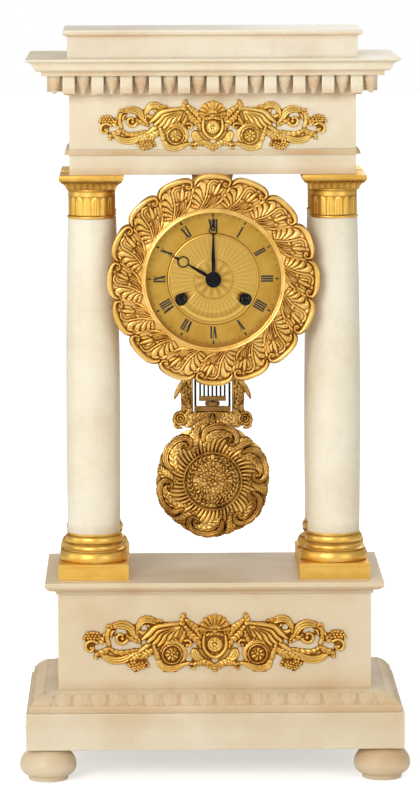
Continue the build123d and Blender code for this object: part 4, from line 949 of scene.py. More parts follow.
    lay(f, [(-6.1, 5.2, 1.0), (-7.3, 0.9, 1.2), (-7.2, -4.0, 1.3), (-5.1, -8.1, 1.4), (-2.0, -10.5, 1.4),
            (0.8, -11.0, 1.4)],
        2.4, count=50)
    lay(f, [(-5.2, 3.4, 1.0), (-3.2, 4.6, 1.4), (0.4, 4.9, 1.4)], 2.6, count=30)
    lay(f, [(0, 1.5, 4.4), (0, -6.0, 3.6)], 1.5, edge=0.6)
    rosette(f, 0, -2.6, 4.9)
    lay(f, [(-5.3, 6.6, 0.7), (-7.6, 5.4, 1.5), (-9.2, 7.0, 1.3)], 2.8, lobes=3)
    grapes(f, [(-2.3, -15.3), (-0.8, -17.0), (0.1, -19.8), (0.1, -18.1)], 1.3, 3.2)
    for step in range(5):
        out, up = math.sin(0.36 * step), math.cos(0.36 * step)
        lay(f, [(-1.4 * out, 6.4 + 1.4 * up, 0.7), (-5.5 * out, 6.4 + 5.5 * up, 1.3), (-9.2 * out, 6.4 + 9.6 * up, 1.75)],
            3.1, edge=0.25, grooves=2, count=30)
    bead(f, 0, 6.2, 1.6, 3.4)
    for key in ("height", "inside"):
        f[key] = np.maximum(f[key], f[key][::-1])
    # Small closed gaps get a low web of metal that the gilding paints dark, standing for the shade and dirt in those
    # gaps.
    webbed = (smoothed((f["inside"] > -1.4).astype(float), 3) > 0.97) & (f["inside"] < 0.2)
    f["height"] = np.where(webbed, 0.3, f["height"])
    f["inside"] = np.where(webbed, 0.3, f["inside"])
    return f


MOUNT_DESIGN = foliate_relief()
mount_gilding = gilt("mount gilding", crevice_shading=1.15, bright=(0.95, 0.62, 0.17, 1), matte=(0.82, 0.49, 0.11, 1))
frieze_gilding = gilt("frieze gilding", crevice_shading=0.95, bright=(1.0, 0.74, 0.25, 1), matte=(0.92, 0.62, 0.17, 1))
for name, size, front, middle, node, skin in (
        ("pedestal_foliage", 1.0, -52.7, 90.5, "pedestal_mount", mount_gilding),
        ("frieze_foliage", 0.858, -36.3, 429.0, "frieze_mount", frieze_gilding)):
    def place(x, y, h, size=size, front=front, middle=middle):
        return np.stack([x * size, front - h * size, middle + y * size], axis=-1)

    mount = cast_relief(name, MOUNT_DESIGN, MOUNT_STEP, place, -0.04)
    fit(mount, name, "case", "gilt_bronze", skin, node)

# The clock head is a brass drum hung from a small saddle under the architrave, closed at the back
# by a hinged brass door. The sheet is lacquered and has gone a little brown.
def keep_cad(material, *names):
    """Gives pieces that stay as they were made their material."""
    for name in names:
        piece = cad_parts[name]
        piece.data.materials.clear()
        piece.data.materials.append(material)


sheet_brass = gilt("lacquered brass", 0.0, (0.80, 0.56, 0.22, 1), (0.66, 0.42, 0.14, 1), grain=0.1)
keep_cad(sheet_brass, "drum_case", "drum_bracket", "back_door")

# The movement stands between two brass plates. Wheels, barrels and cock are brass, the arbors,
# pallets, hammer and bell stand are bright steel, and the bell is a pale bell metal.
def machined(name, colour, low, high, scale, metallic=1.0):
    """Worked metal with fine uneven polish: colour, roughness limits and size of the unevenness."""
    material, tree, surface = new_material(name)
    coords = node_of(tree, "ShaderNodeTexCoord", (-900, 0))
    cloud = node_of(tree, "ShaderNodeTexNoise", (-700, 0))
    cloud.inputs["Scale"].default_value = scale
    cloud.inputs["Detail"].default_value = 5.0
    tree.links.new(coords.outputs["Object"], cloud.inputs["Vector"])
    rough = node_of(tree, "ShaderNodeMapRange", (-450, -80))
    rough.inputs["To Min"].default_value = low
    rough.inputs["To Max"].default_value = high
    tree.links.new(cloud.outputs["Fac"], rough.inputs["Value"])
    tree.links.new(rough.outputs["Result"], surface.inputs["Roughness"])
    darker = tuple(0.72 * c for c in colour) + (1,)
    tone = ramp_of(tree, (-450, 200), (0.35, (*colour, 1)), (0.7, darker))
    tree.links.new(cloud.outputs["Fac"], tone.inputs["Fac"])
    tree.links.new(tone.outputs["Color"], surface.inputs["Base Color"])
    bump_from(tree, surface, cloud.outputs["Fac"], 0.06, 0.0001)
    surface.inputs["Metallic"].default_value = metallic
    return material


plate_brass = gilt("movement brass", 0.0, (0.88, 0.66, 0.29, 1), (0.78, 0.55, 0.21, 1), grain=0.08)
bright_steel = machined("bright steel", (0.56, 0.56, 0.57), 0.2, 0.38, 260.0)
iron = machined("wrought iron", (0.19, 0.17, 0.16), 0.45, 0.7, 180.0)
bell_metal = machined("bell metal", (0.78, 0.68, 0.45), 0.18, 0.34, 140.0)
keep_cad(plate_brass, "movement_front_plate", "movement_back_plate", "suspension_cock", "going_barrel",
         "strike_barrel", "cannon_pinion", "minute_wheel", "hour_wheel")
keep_cad(bright_steel, "centre_arbor", "pallets_and_crutch", "hammer", "bell_stand")
keep_cad(bell_metal, "bell")
keep_cad(iron, "tie_rods", "tie_rod_nuts")

# The dial is a gilt brass disc: a matte chapter ring, a raised centre engine turned with rays
# round a rosette, and two winding holes lined with black tubes as painted shade. Figures and minute marks are black.
DIAL_Z = 328.0


def spun(points, x, z, sides=160):
    """A ring turned about the dial's axis from its closed section in radius and depth."""
    bpy.ops.object.select_all(action="DESELECT")
    bpy.ops.mesh.primitive_circle_add(vertices=len(points), radius=MM)
    ring = bpy.context.object
    for vertex, (radius, depth) in zip(ring.data.vertices, points):
        vertex.co = (radius * MM, depth * MM, 0)
    bpy.ops.object.mode_set(mode="EDIT")
    bpy.ops.mesh.select_all(action="SELECT")
    bpy.ops.mesh.spin(steps=sides, angle=2 * math.pi, center=(0, 0, 0), axis=(0, 1, 0))
    bpy.ops.mesh.select_all(action="SELECT")
    bpy.ops.mesh.remove_doubles(threshold=0.000004)
    bpy.ops.mesh.normals_make_consistent(inside=False)
    bpy.ops.object.mode_set(mode="OBJECT")
    ring.location = (x * MM, 0, z * MM)
    return settle()


def cut_away(piece, cutter):
    """Takes one closed piece out of another and removes the cutter."""
    carve = piece.modifiers.new("cut", "BOOLEAN")
    carve.operation = "DIFFERENCE"
    carve.solver = "EXACT"
    carve.object = cutter
    bpy.ops.object.select_all(action="DESELECT")
    piece.select_set(True)
    bpy.context.view_layer.objects.active = piece
    bpy.ops.object.modifier_apply(modifier=carve.name)
    bpy.data.objects.remove(cutter)
    return piece


def engine_turned():
    """Gilt dial metal: rays and rosette petals, with painted highlight and shade rings on the rims and a painted
    crescent below the hub.
    """
    material, tree, surface = new_material("engine turned dial")
    link = tree.links.new
    skin = node_of(tree, "ShaderNodeGroup", (-500, 250), node_tree=FIRE_GILDING)
    skin.inputs["Bright"].default_value = (0.80, 0.50, 0.10, 1)
    skin.inputs["Matte"].default_value = (0.68, 0.39, 0.06, 1)
    skin.inputs["Crevice shading"].default_value = 0.0
    coords = node_of(tree, "ShaderNodeTexCoord", (-1700, -200))
    axes = node_of(tree, "ShaderNodeSeparateXYZ", (-1500, -200))
    link(coords.outputs["Object"], axes.inputs[0])
    rise = node_of(tree, "ShaderNodeMath", (-1320, -300), operation="SUBTRACT")
    rise.inputs[1].default_value = DIAL_Z * MM
    link(axes.outputs["Z"], rise.inputs[0])
    flat = node_of(tree, "ShaderNodeCombineXYZ", (-1140, -200))
    link(axes.outputs["X"], flat.inputs["X"])
    link(rise.outputs[0], flat.inputs["Y"])
    radius = node_of(tree, "ShaderNodeVectorMath", (-960, -100), operation="LENGTH")
    link(flat.outputs[0], radius.inputs[0])
    turn = node_of(tree, "ShaderNodeMath", (-960, -300), operation="ARCTAN2")
    link(rise.outputs[0], turn.inputs[0])
    link(axes.outputs["X"], turn.inputs[1])

    def rays(count, y):
        scaled = node_of(tree, "ShaderNodeMath", (-780, y), operation="MULTIPLY")
        scaled.inputs[1].default_value = count
        link(turn.outputs[0], scaled.inputs[0])
        wave = node_of(tree, "ShaderNodeMath", (-600, y), operation="SINE")
        link(scaled.outputs[0], wave.inputs[0])
        return wave.outputs[0]

    def within(limit, y):
        mask = node_of(tree, "ShaderNodeMath", (-780, y), operation="LESS_THAN")
        mask.inputs[1].default_value = limit * MM
        link(radius.outputs["Value"], mask.inputs[0])
        return mask.outputs[0]

    def along(y, *stops):
        """Brightness along the radius, for stops of radius in mm and value."""
        share = node_of(tree, "ShaderNodeMapRange", (-780, y))
        share.inputs["From Max"].default_value = 46.0 * MM
        link(radius.outputs["Value"], share.inputs["Value"])
        ramp = ramp_of(tree, (-600, y), *((r / 46.0, (v, v, v, 1)) for r, v in stops))
        link(share.outputs["Result"], ramp.inputs["Fac"])
        return ramp.outputs["Color"]

    def times(a, b, x, y):
        product = node_of(tree, "ShaderNodeMath", (x, y), operation="MULTIPLY")
        link(a, product.inputs[0])
        link(b, product.inputs[1])
        return product.outputs[0]

    def chosen(mask, off, on, x, y):
        choice = node_of(tree, "ShaderNodeMix", (x, y), data_type="FLOAT")
        link(mask, choice.inputs["Factor"])
        link(off, choice.inputs["A"])
        link(on, choice.inputs["B"])
        return choice.outputs["Result"]

    # disc paints a bright ring between dark lines on the rims of the raised disc and the rosette, and lightens round
    # the hub: painted highlight and shade.
    disc = along(-500, (0, 0.6), (5.4, 0.9), (5.9, 0.35), (12.2, 0.45), (12.7, 0.15), (13.1, 1.0), (13.5, 0.5), (21.5, 0.5),
                 (28.2, 0.5), (28.5, 0.1), (28.8, 1.0), (29.4, 1.0), (29.9, 0.1), (30.3, 0.5), (42.8, 0.5), (46.0, 0.4))
    # Below the hub only, this ramp paints a bright ring and dark lines for a sunk channel that exists only in this
    # paint and the bump: painted highlight and shade.
    crescent_light_and_shade = along(-800, (0, 0.5), (21.4, 0.5), (21.7, 1.0), (22.1, 0.3), (24.9, 0.22), (25.3, 0.0), (25.8, 0.8), (27.2, 0.8),
                    (27.8, 0.15), (28.4, 0.3), (28.8, 1.0), (29.4, 1.0), (29.9, 0.1), (30.3, 0.5))
    lowered = node_of(tree, "ShaderNodeMath", (-780, -1000), operation="ADD")
    lowered.inputs[1].default_value = math.pi / 2
    link(turn.outputs[0], lowered.inputs[0])
    sideways = node_of(tree, "ShaderNodeMath", (-600, -1000), operation="ABSOLUTE")
    link(lowered.outputs[0], sideways.inputs[0])
    under = node_of(tree, "ShaderNodeMath", (-420, -1000), operation="LESS_THAN")
    under.inputs[1].default_value = 0.98
    link(sideways.outputs[0], under.inputs[0])
    outside = node_of(tree, "ShaderNodeMath", (-420, -1150), operation="SUBTRACT")
    outside.inputs[0].default_value = 1.0
    link(within(21.4, -1150), outside.inputs[1])
    rings = chosen(times(under.outputs[0], outside.outputs[0], -240, -1050), disc, crescent_light_and_shade, -60, -700)
    fluted = along(-1350, (0, 0.0), (5.9, 0.0), (6.1, 0.0), (13.4, 0.0), (13.7, 0.16), (21.0, 0.16), (21.4, 0.10), (27.9, 0.06),
                   (28.2, 0.0))
    petals = along(-1550, (0, 0.0), (6.0, 0.1), (9.0, 0.3), (12.0, 0.12), (12.4, 0.0))
    worked = node_of(tree, "ShaderNodeMath", (-60, -1350), operation="ADD")
    link(times(rays(48.0, -1250), fluted, -240, -1300), worked.inputs[0])
    link(times(rays(12.0, -1450), petals, -240, -1500), worked.inputs[1])
    pattern = node_of(tree, "ShaderNodeMath", (60, -900), operation="ADD", use_clamp=True)
    link(rings, pattern.inputs[0])
    link(worked.outputs[0], pattern.inputs[1])
    bump = node_of(tree, "ShaderNodeBump", (250, -400))
    bump.inputs["Strength"].default_value = 0.5
    bump.inputs["Distance"].default_value = 0.00016
    link(pattern.outputs[0], bump.inputs["Height"])
    link(bump.outputs["Normal"], surface.inputs["Normal"])
    shade = node_of(tree, "ShaderNodeMapRange", (150, -150))
    shade.inputs["From Max"].default_value = 0.75
    shade.inputs["To Min"].default_value = 0.75
    shade.inputs["To Max"].default_value = 0.0
    link(pattern.outputs[0], shade.inputs["Value"])
    tone = node_of(tree, "ShaderNodeMix", (350, 250), data_type="RGBA")
    tone.inputs["B"].default_value = (0.36, 0.17, 0.02, 1)
    link(shade.outputs["Result"], tone.inputs["Factor"])
    paler = node_of(tree, "ShaderNodeMix", (-60, 250), data_type="RGBA")
    paler.inputs["B"].default_value = (0.84, 0.54, 0.125, 1)
    link(within(29.8, 50), paler.inputs["Factor"])
    link(skin.outputs["Color"], paler.inputs["A"])
    link(paler.outputs["Result"], tone.inputs["A"])
    link(tone.outputs["Result"], surface.inputs["Base Color"])
    link(skin.outputs["Roughness"], surface.inputs["Roughness"])
    surface.inputs["Metallic"].default_value = 1.0
    return material


dial_metal = engine_turned()
dial = spun([(3.25, -40.2), (46.2, -40.2), (46.2, -42.0), (30.2, -42.0), (29.9, -42.6), (29.5, -43.1), (29.0, -43.2),
             (28.5, -42.8), (13.5, -42.8), (13.3, -43.1), (13.0, -43.2), (12.7, -42.9), (5.9, -42.9), (5.6, -43.15), (3.25, -43.15)],
            0, DIAL_Z)
for side in (-1, 1):
    bpy.ops.mesh.primitive_cylinder_add(vertices=48, radius=3.95 * MM, depth=8 * MM, rotation=(math.pi / 2, 0, 0),
                                        location=(side * 21.0 * MM, -42.0 * MM, (DIAL_Z - 13.4) * MM))
    cut_away(dial, settle())
fit(dial, "dial_plate", "case", "dial_gilt", dial_metal, "dial")
# The bushes are black tubes standing for the shade inside the winding holes: painted shade.
bushes = [spun([(2.5, -38.6), (3.94, -38.6), (3.94, -42.9), (3.85, -43.0), (3.7, -42.9), (3.6, -39.4), (2.5, -39.4)],
               side * 21.0, DIAL_Z - 13.4, 48)
          for side in (-1, 1)]
hole_shade_black = bpy.data.materials.new("winding hole shade")
hole_shade_black.use_nodes = True
hole_shade_black.node_tree.nodes["Principled BSDF"].inputs["Base Color"].default_value = (0.012, 0.011, 0.010, 1)
hole_shade_black.node_tree.nodes["Principled BSDF"].inputs["Roughness"].default_value = 0.6
fit(join(bushes), "winding_bushes", "case", "blackened_steel", hole_shade_black)
FIGURE_FOOT = 31.2
FIGURE_HEIGHT = 7.8
THICK, THIN = 1.15, 0.34
FIGURES = ("XII", "I", "II", "III", "IIII", "V", "VI", "VII", "VIII", "IX", "X", "XI")
LETTERS = {
    "I": (1.55, [(0, 0, 0, 1, THICK)]),
    "V": (2.9, [(-0.95, 1, 0.1, 0.02, THICK), (1.0, 1, 0.1, 0.02, THIN)]),
    "X": (3.0, [(-0.95, 1, 0.95, 0, THICK), (1.0, 1, -1.0, 0, THIN)]),
}


def bar(ax, ay, bx, by, width):
    """Corners of a straight stroke; an upright-ended one for slanting letters."""
    if abs(ax - bx) < 0.01:
        return [(ax - width / 2, ay), (ax + width / 2, ay), (bx + width / 2, by), (bx - width / 2, by)]
    return [(ax - width * 0.6, ay), (ax + width * 0.6, ay), (bx + width * 0.6, by), (bx - width * 0.6, by)]


def dial_marks():
    """Corners of every black mark on the dial, as seen from the front about its centre."""
    marks = []
    for hour, letters in enumerate(FIGURES):
        angle = math.radians(30 * hour)
        out, along = (math.sin(angle), math.cos(angle)), (math.cos(angle), -math.sin(angle))
        wide = sum(LETTERS[letter][0] for letter in letters)
        squeeze = min(1.0, 9.4 / wide)
        here = -wide / 2
        strokes = []
        for letter in letters:
            advance, parts = LETTERS[letter]
            middle = here + advance / 2
            strokes += [bar(middle + a, b * FIGURE_HEIGHT, middle + c, d * FIGURE_HEIGHT, w) for a, b, c, d, w in parts]
            ends = {"I": ((0, 0), (0, 1)), "V": ((-0.95, 1), (1.0, 1)), "X": ((-0.95, 1), (1.0, 1), (0.95, 0), (-1.0, 0))}
            for a, b in ends[letter]:
                level = b * (FIGURE_HEIGHT - THIN)
                strokes.append([(middle + a - 0.72, level), (middle + a + 0.72, level),
                                (middle + a + 0.72, level + THIN), (middle + a - 0.72, level + THIN)])
            here += advance
        marks += [[((a * squeeze) * along[0] + (FIGURE_FOOT + b) * out[0],
                    (a * squeeze) * along[1] + (FIGURE_FOOT + b) * out[1]) for a, b in stroke] for stroke in strokes]
    for minute in range(60):
        angle = math.radians(6 * minute)
        out, along = (math.sin(angle), math.cos(angle)), (math.cos(angle), -math.sin(angle))
        if minute % 5 == 0:
            ring = [(-0.55, 40.7), (0.55, 40.7), (0.55, 42.8), (-0.55, 42.8)]
        else:
            ring = [(-0.16, 41.5), (0.16, 41.5), (0.16, 42.8), (-0.16, 42.8)]
        marks.append([(a * along[0] + b * out[0], a * along[1] + b * out[1]) for a, b in ring])
    return marks


def cut_sheet(name, outlines, depth, thickness):
    """Flat shapes seen from the front about the dial's centre, given a thickness towards the front."""
    mesh = bpy.data.meshes.new(name)
    points, faces = [], []
    for outline in outlines:
        faces.append(list(range(len(points), len(points) + len(outline))))
        points += [(x * MM, depth * MM, (z + DIAL_Z) * MM) for x, z in outline]
    mesh.from_pydata(points, [], faces)
    piece = bpy.data.objects.new(name, mesh)
    bpy.context.scene.collection.objects.link(piece)
    bpy.ops.object.select_all(action="DESELECT")
    piece.select_set(True)
    bpy.context.view_layer.objects.active = piece
    bpy.ops.object.mode_set(mode="EDIT")
    bpy.ops.mesh.select_all(action="SELECT")
    bpy.ops.mesh.extrude_region_move(TRANSFORM_OT_translate={"value": (0, -thickness * MM, 0)})
    bpy.ops.mesh.select_all(action="SELECT")
    bpy.ops.mesh.normals_make_consistent(inside=False)
    bpy.ops.object.mode_set(mode="OBJECT")
    return piece


black_wax = machined("black wax", (0.018, 0.014, 0.012), 0.35, 0.55, 300.0, 0.0)
figures = cut_sheet("dial_figures", dial_marks(), -41.98, 0.05)
fit(figures, "dial_figures", "case", "blackened_steel", black_wax)

# The hands are sawn from steel, filed to a rounded face and blackened; a slotted nut holds them.
black_steel = machined("blackened steel and hole shade", (0.022, 0.022, 0.026), 0.22, 0.4, 300.0)
# The winding arbors take the same black, as painted shade deep inside the winding holes.
keep_cad(black_steel, "hour_hand", "minute_hand", "hand_nut", "going_arbor", "strike_arbor")

# The bezel is the showpiece: sixteen whirling leaves in one gilt casting, each with a rolled rim
# that ends in a little scroll, a fluted leaf, three budding stems and a tulip, round a sight ring.
LOBES = 16
LOBE_WIDE = 2 * math.pi * 58.0 / LOBES
LOBE_COLUMNS = 78
LOBE_ROWS = 62
RING_R = 46.6


def lobe_edge(u):
    """Outer radius of a lobe across its width: nearly level, with round shoulders down to the notches."""
    share = np.abs(u) / (LOBE_WIDE / 2)
    return 65.8 + 3.1 * (1 - share ** 5) + 0.5 * (1 - share ** 2)


def whirling_leaf():
    """One lobe of the bezel as a relief; u runs clockwise along the rim, v out from the dial."""
    u = (np.arange(LOBE_COLUMNS) / LOBE_COLUMNS - 0.5) * LOBE_WIDE
    share = np.linspace(0, 1, LOBE_ROWS)
    x = np.repeat(u[:, None], LOBE_ROWS, axis=1)
    y = RING_R + share[None, :] * (lobe_edge(u)[:, None] - RING_R)
    f = relief_field(x, y)
    f["height"] += 0.25 + 0.5 * np.clip((y - 56) / 12, 0, 1)
    tall = lambda rows: [(a, 46 + (b - 46) * 1.055, *rest) for a, b, *rest in rows]
    put = lambda rows, lift, **more: lay(f, tall(rows), lift, period=LOBE_WIDE, **more)
    put([(11.0, 63.2, 0.7), (10.9, 57.9, 1.0), (8.6, 51.4, 1.1), (3.2, 47.6, 1.0)], 1.5, edge=0.2)
    put([(-5.0, 46.6, 1.0), (-3.8, 50.0, 1.7), (-3.3, 54.0, 2.2), (-3.4, 58.6, 1.9), (-4.4, 62.0, 1.2)], 1.1, edge=0.5)
    for rows in ([(-6.6, 48.0, 0.9), (-9.6, 49.4, 1.3), (-12.2, 50.2, 1.2)],
                 [(-5.8, 48.8, 0.9), (-9.0, 51.4, 1.4), (-12.0, 53.0, 1.3)],
                 [(-5.0, 50.0, 0.9), (-7.8, 53.6, 1.5), (-10.9, 55.9, 1.4)],
                 [(-4.4, 51.8, 0.9), (-6.6, 56.4, 1.6), (-9.4, 59.0, 1.5)],
                 [(-3.9, 54.0, 0.9), (-4.6, 59.4, 1.8), (-6.7, 62.3, 1.7), (-8.6, 61.4, 1.0)]):
        put(rows, 1.9, edge=0.25, count=34)
        end = rows[-1] if len(rows) == 3 else rows[2]
        bead(f, end[0], 46 + (end[1] - 46) * 1.055, 1.15, 2.15, LOBE_WIDE)
    put([(-6.0, 47.2, 0.8), (-2.9, 52.4, 0.9), (-2.2, 58.0, 0.8), (-2.0, 61.8, 0.8), (0.4, 64.0, 0.9), (3.6, 63.2, 0.7)],
        2.0, edge=0.3)
    put([(-4.9, 47.0, 0.6), (-2.2, 49.8, 0.6), (-0.5, 53.4, 0.6)], 1.7, edge=0.25, count=30)
    put([(-3.0, 46.8, 0.6), (1.2, 50.6, 0.6), (3.0, 55.4, 0.6)], 1.8, edge=0.25, count=34)
    put([(-0.4, 46.6, 0.6), (4.2, 49.4, 0.6), (5.9, 53.0, 0.6)], 1.7, edge=0.25, count=30)
    for a, b, r in ((-0.4, 54.2, 1.25), (6.1, 54.0, 1.25)):
        bead(f, a, 46 + (b - 46) * 1.055, r, 2.5, LOBE_WIDE)
    put([(2.9, 55.6, 1.3), (1.6, 58.0, 1.3), (1.4, 60.6, 0.7)], 2.1, edge=0.25, count=24)
    put([(3.5, 55.6, 1.3), (6.0, 57.2, 1.3), (7.0, 59.4, 0.7)], 2.1, edge=0.25, count=24)
    put([(3.2, 55.8, 1.3), (4.0, 59.0, 1.5), (4.6, 62.0, 0.7)], 2.4, edge=0.25, count=24)
    put([(-10.6, 62.6, 0.7), (-8.6, 65.2, 1.4), (-4.6, 66.7, 2.1), (0.4, 66.8, 2.2), (5.0, 66.3, 1.7), (8.6, 65.3, 1.2),
         (10.3, 63.8, 0.9), (10.3, 61.6, 0.8), (8.6, 60.7, 0.8), (7.1, 61.6, 0.7), (7.3, 63.0, 0.6)], 3.0, edge=0.2, count=90)
    bead(f, 8.5, 46 + (62.3 - 46) * 1.055, 0.85, 2.6, LOBE_WIDE)
    return f


leaf = whirling_leaf()
# leaf_deep marks the hollows among the leaves, which the gilding paints brown as painted shade.
leaf_deep = hollows(leaf["height"], 4, 0.8, around=True)
leaf_height = 0.75 * leaf["height"] + 0.25 * smoothed(leaf["height"], 1, around=True)
leaf_height += 1.5 * np.clip((50.6 - leaf["y"]) / 4.0, 0, 1) ** 1.3
whirl = -4.6 * np.clip((68.0 - leaf["y"]) / 21.0, 0, 1) ** 1.5
turn = (np.arange(LOBES)[:, None, None] * LOBE_WIDE + (leaf["x"] + whirl)[None]) / 58.0
turn = turn.reshape(-1, LOBE_ROWS)
radius = np.tile(leaf["y"], (LOBES, 1))
depth = -47.9 - np.tile(leaf_height, (LOBES, 1))
radius = np.concatenate([np.full_like(radius[:, :1], RING_R), radius, radius[:, -1:] + 0.02], axis=1)
turn = np.concatenate([turn[:, :1], turn, turn[:, -1:]], axis=1)
depth = np.concatenate([np.full_like(depth[:, :1], -44.55), depth, np.full_like(depth[:, :1], -44.55)], axis=1)
deep = np.concatenate([np.zeros((len(turn), 1)), np.tile(leaf_deep, (LOBES, 1)), np.zeros((len(turn), 1))], axis=1)
points = np.stack([radius * np.sin(turn), depth, DIAL_Z + radius * np.cos(turn)], axis=-1)
rows, columns = deep.shape
faces = grid_faces(rows, columns, closed=True)
i = np.arange(rows)
back = np.stack([i * columns + columns - 1, (i + 1) % rows * columns + columns - 1, (i + 1) % rows * columns, i * columns], axis=1)
leaves = sculpted("leaves", points.reshape(-1, 3), np.concatenate([faces, back]), deep.ravel())
sight_ring = spun([(44.0, -51.0), (44.2, -51.4), (44.6, -51.6), (45.1, -51.5), (45.3, -51.1), (45.6, -51.0), (45.8, -51.3),
                   (46.3, -51.45), (46.8, -51.2), (47.0, -50.6), (47.2, -49.0), (47.2, -44.6), (46.15, -44.6),
                   (46.15, -50.2), (44.0, -50.2)], 0, DIAL_Z, 200)


def hinge_pocket():
    """The room that the fixed hinge knuckle takes in the back of the bezel."""
    bpy.ops.object.select_all(action="DESELECT")
    bpy.ops.mesh.primitive_cube_add(size=1, location=(-50.8 * MM, -45.9 * MM, DIAL_Z * MM))
    bpy.context.object.scale = (7.0 * MM, 3.8 * MM, 9.6 * MM)
    return settle()


bezel = join([cut_away(leaves, hinge_pocket()), cut_away(sight_ring, hinge_pocket())], 50.0)
bezel_gilding = gilt("bezel gilding", crevice_shading=1.1, bright=(1.0, 0.68, 0.23, 1), matte=(0.82, 0.50, 0.12, 1))
fit(bezel, "leafy_bezel", "bezel_door", "gilt_bronze", bezel_gilding, "bezel")

# A clear flat glass is held in the bezel behind the sight ring.
def clear_glass():
    """Thin clear glass with a trace of green."""
    material, tree, surface = new_material("clear glass")
    surface.inputs["Base Color"].default_value = (0.99, 1.0, 0.995, 1)
    surface.inputs["Transmission Weight"].default_value = 1.0
    surface.inputs["Metallic"].default_value = 0.0
    surface.inputs["IOR"].default_value = 1.45
    surface.inputs["Alpha"].default_value = 0.05
    coords = node_of(tree, "ShaderNodeTexCoord", (-700, -200))
    smear = node_of(tree, "ShaderNodeTexNoise", (-500, -200))
    smear.inputs["Scale"].default_value = 30.0
    tree.links.new(coords.outputs["Object"], smear.inputs["Vector"])
    rough = node_of(tree, "ShaderNodeMapRange", (-250, -200))
    rough.inputs["To Min"].default_value = 0.0
    rough.inputs["To Max"].default_value = 0.05
    tree.links.new(smear.outputs["Fac"], rough.inputs["Value"])
    tree.links.new(rough.outputs["Result"], surface.inputs["Roughness"])
    return material


keep_cad(clear_glass(), "bezel_glass")

# The gridiron hangs behind the drum: nine dark steel rods between brass bars, which keep the
# pendulum's length as the room warms. A fluted brass nut on the middle rod sets the rate.
PENDULUM_Y = 15.0
rod_steel = machined("dark rod steel", (0.028, 0.027, 0.03), 0.25, 0.45, 220.0)
aged_brass = gilt("aged bar brass", 0.0, (0.40, 0.22, 0.06, 1), (0.26, 0.13, 0.035, 1), grain=0.2)


def box_of(x, y, z, round_off):
    """A bar between limits along each axis."""
    bpy.ops.object.select_all(action="DESELECT")
    bpy.ops.mesh.primitive_cube_add(size=1, location=tuple(sum(a) / 2 * MM for a in (x, y, z)))
    bpy.context.object.scale = tuple((a[1] - a[0]) * MM for a in (x, y, z))
    return soften(settle(), round_off)


rods = [lathe_work([(0.65, 240.6), (0.65, 268.2)], i * 2.73, PENDULUM_Y, 20) for i in range(-3, 4)]
rods += [lathe_work([(0.75, 233.8), (0.75, 268.2)], side * 11.4, PENDULUM_Y, 20) for side in (-1, 1)]
rods.append(lathe_work([(0.9, 233.8), (0.9, 243.5)], 0, PENDULUM_Y, 20))
hook = box_of((-1.6, 1.6), (14.2, 15.8), (271.0, 359.8), 0.3)
slot_cut = box_of((-0.85, 0.85), (13.0, 17.0), (DIAL_Z + 6.6, DIAL_Z + 13.4), 0.2)
bpy.ops.mesh.primitive_cylinder_add(vertices=24, radius=0.8 * MM, depth=4.4 * MM, rotation=(math.pi / 2, 0, 0),
                                    location=(0, PENDULUM_Y * MM, 358.0 * MM))
hook_pin = settle()
fit(join([*rods, cut_away(hook, slot_cut), hook_pin]), "gridiron_rods", "pendulum", "steel", rod_steel, "pendulum_gridiron")
bars = [box_of((-9.1, 9.1), (13.2, 16.8), (240.5, 243.7), 0.4), box_of((-12.2, 12.2), (13.2, 16.8), (233.6, 237.0), 0.4),
        box_of((-21.0, 21.0), (13.4, 16.6), (268.0, 271.2), 0.4)]
fit(join(bars), "gridiron_bars", "pendulum", "yellow_brass", aged_brass)
nut_profile = [(4.2, 237.4), (4.9, 237.7), (5.0, 238.2), (5.0, 239.3), (4.9, 239.8), (4.2, 240.1)]
rating_nut = lathe_work(nut_profile, 0, PENDULUM_Y, 72)
for vertex in rating_nut.data.vertices:
    turned_by = math.atan2(vertex.co.y - PENDULUM_Y * MM, vertex.co.x)
    notch = 1 - 0.05 * (0.5 + 0.5 * math.cos(24 * turned_by))
    vertex.co.x *= notch
    vertex.co.y = PENDULUM_Y * MM + (vertex.co.y - PENDULUM_Y * MM) * notch
bpy.ops.mesh.primitive_cylinder_add(vertices=32, radius=0.96 * MM, depth=6 * MM, location=(0, PENDULUM_Y * MM, 238.8 * MM))
fit(cut_away(rating_nut, settle()), "rating_nut_fluted", "regulator", "yellow_brass", aged_brass, "rating_nut")

# A cast frame of old dark gilding stands to both sides of the grid: leafy uprights with a blade
# thrown outward, volutes at the shoulders, and a foliate plate that carries the bob.
# The deep colour goes into the frame's and bob's crevices as painted shade.
ANTIQUE = {"bright": (0.92, 0.60, 0.18, 1), "matte": (0.46, 0.24, 0.055, 1), "deep": (0.035, 0.016, 0.006, 1)}
antique_gilding = gilt("antique gilding", crevice_shading=1.3, grain=0.5, **ANTIQUE)


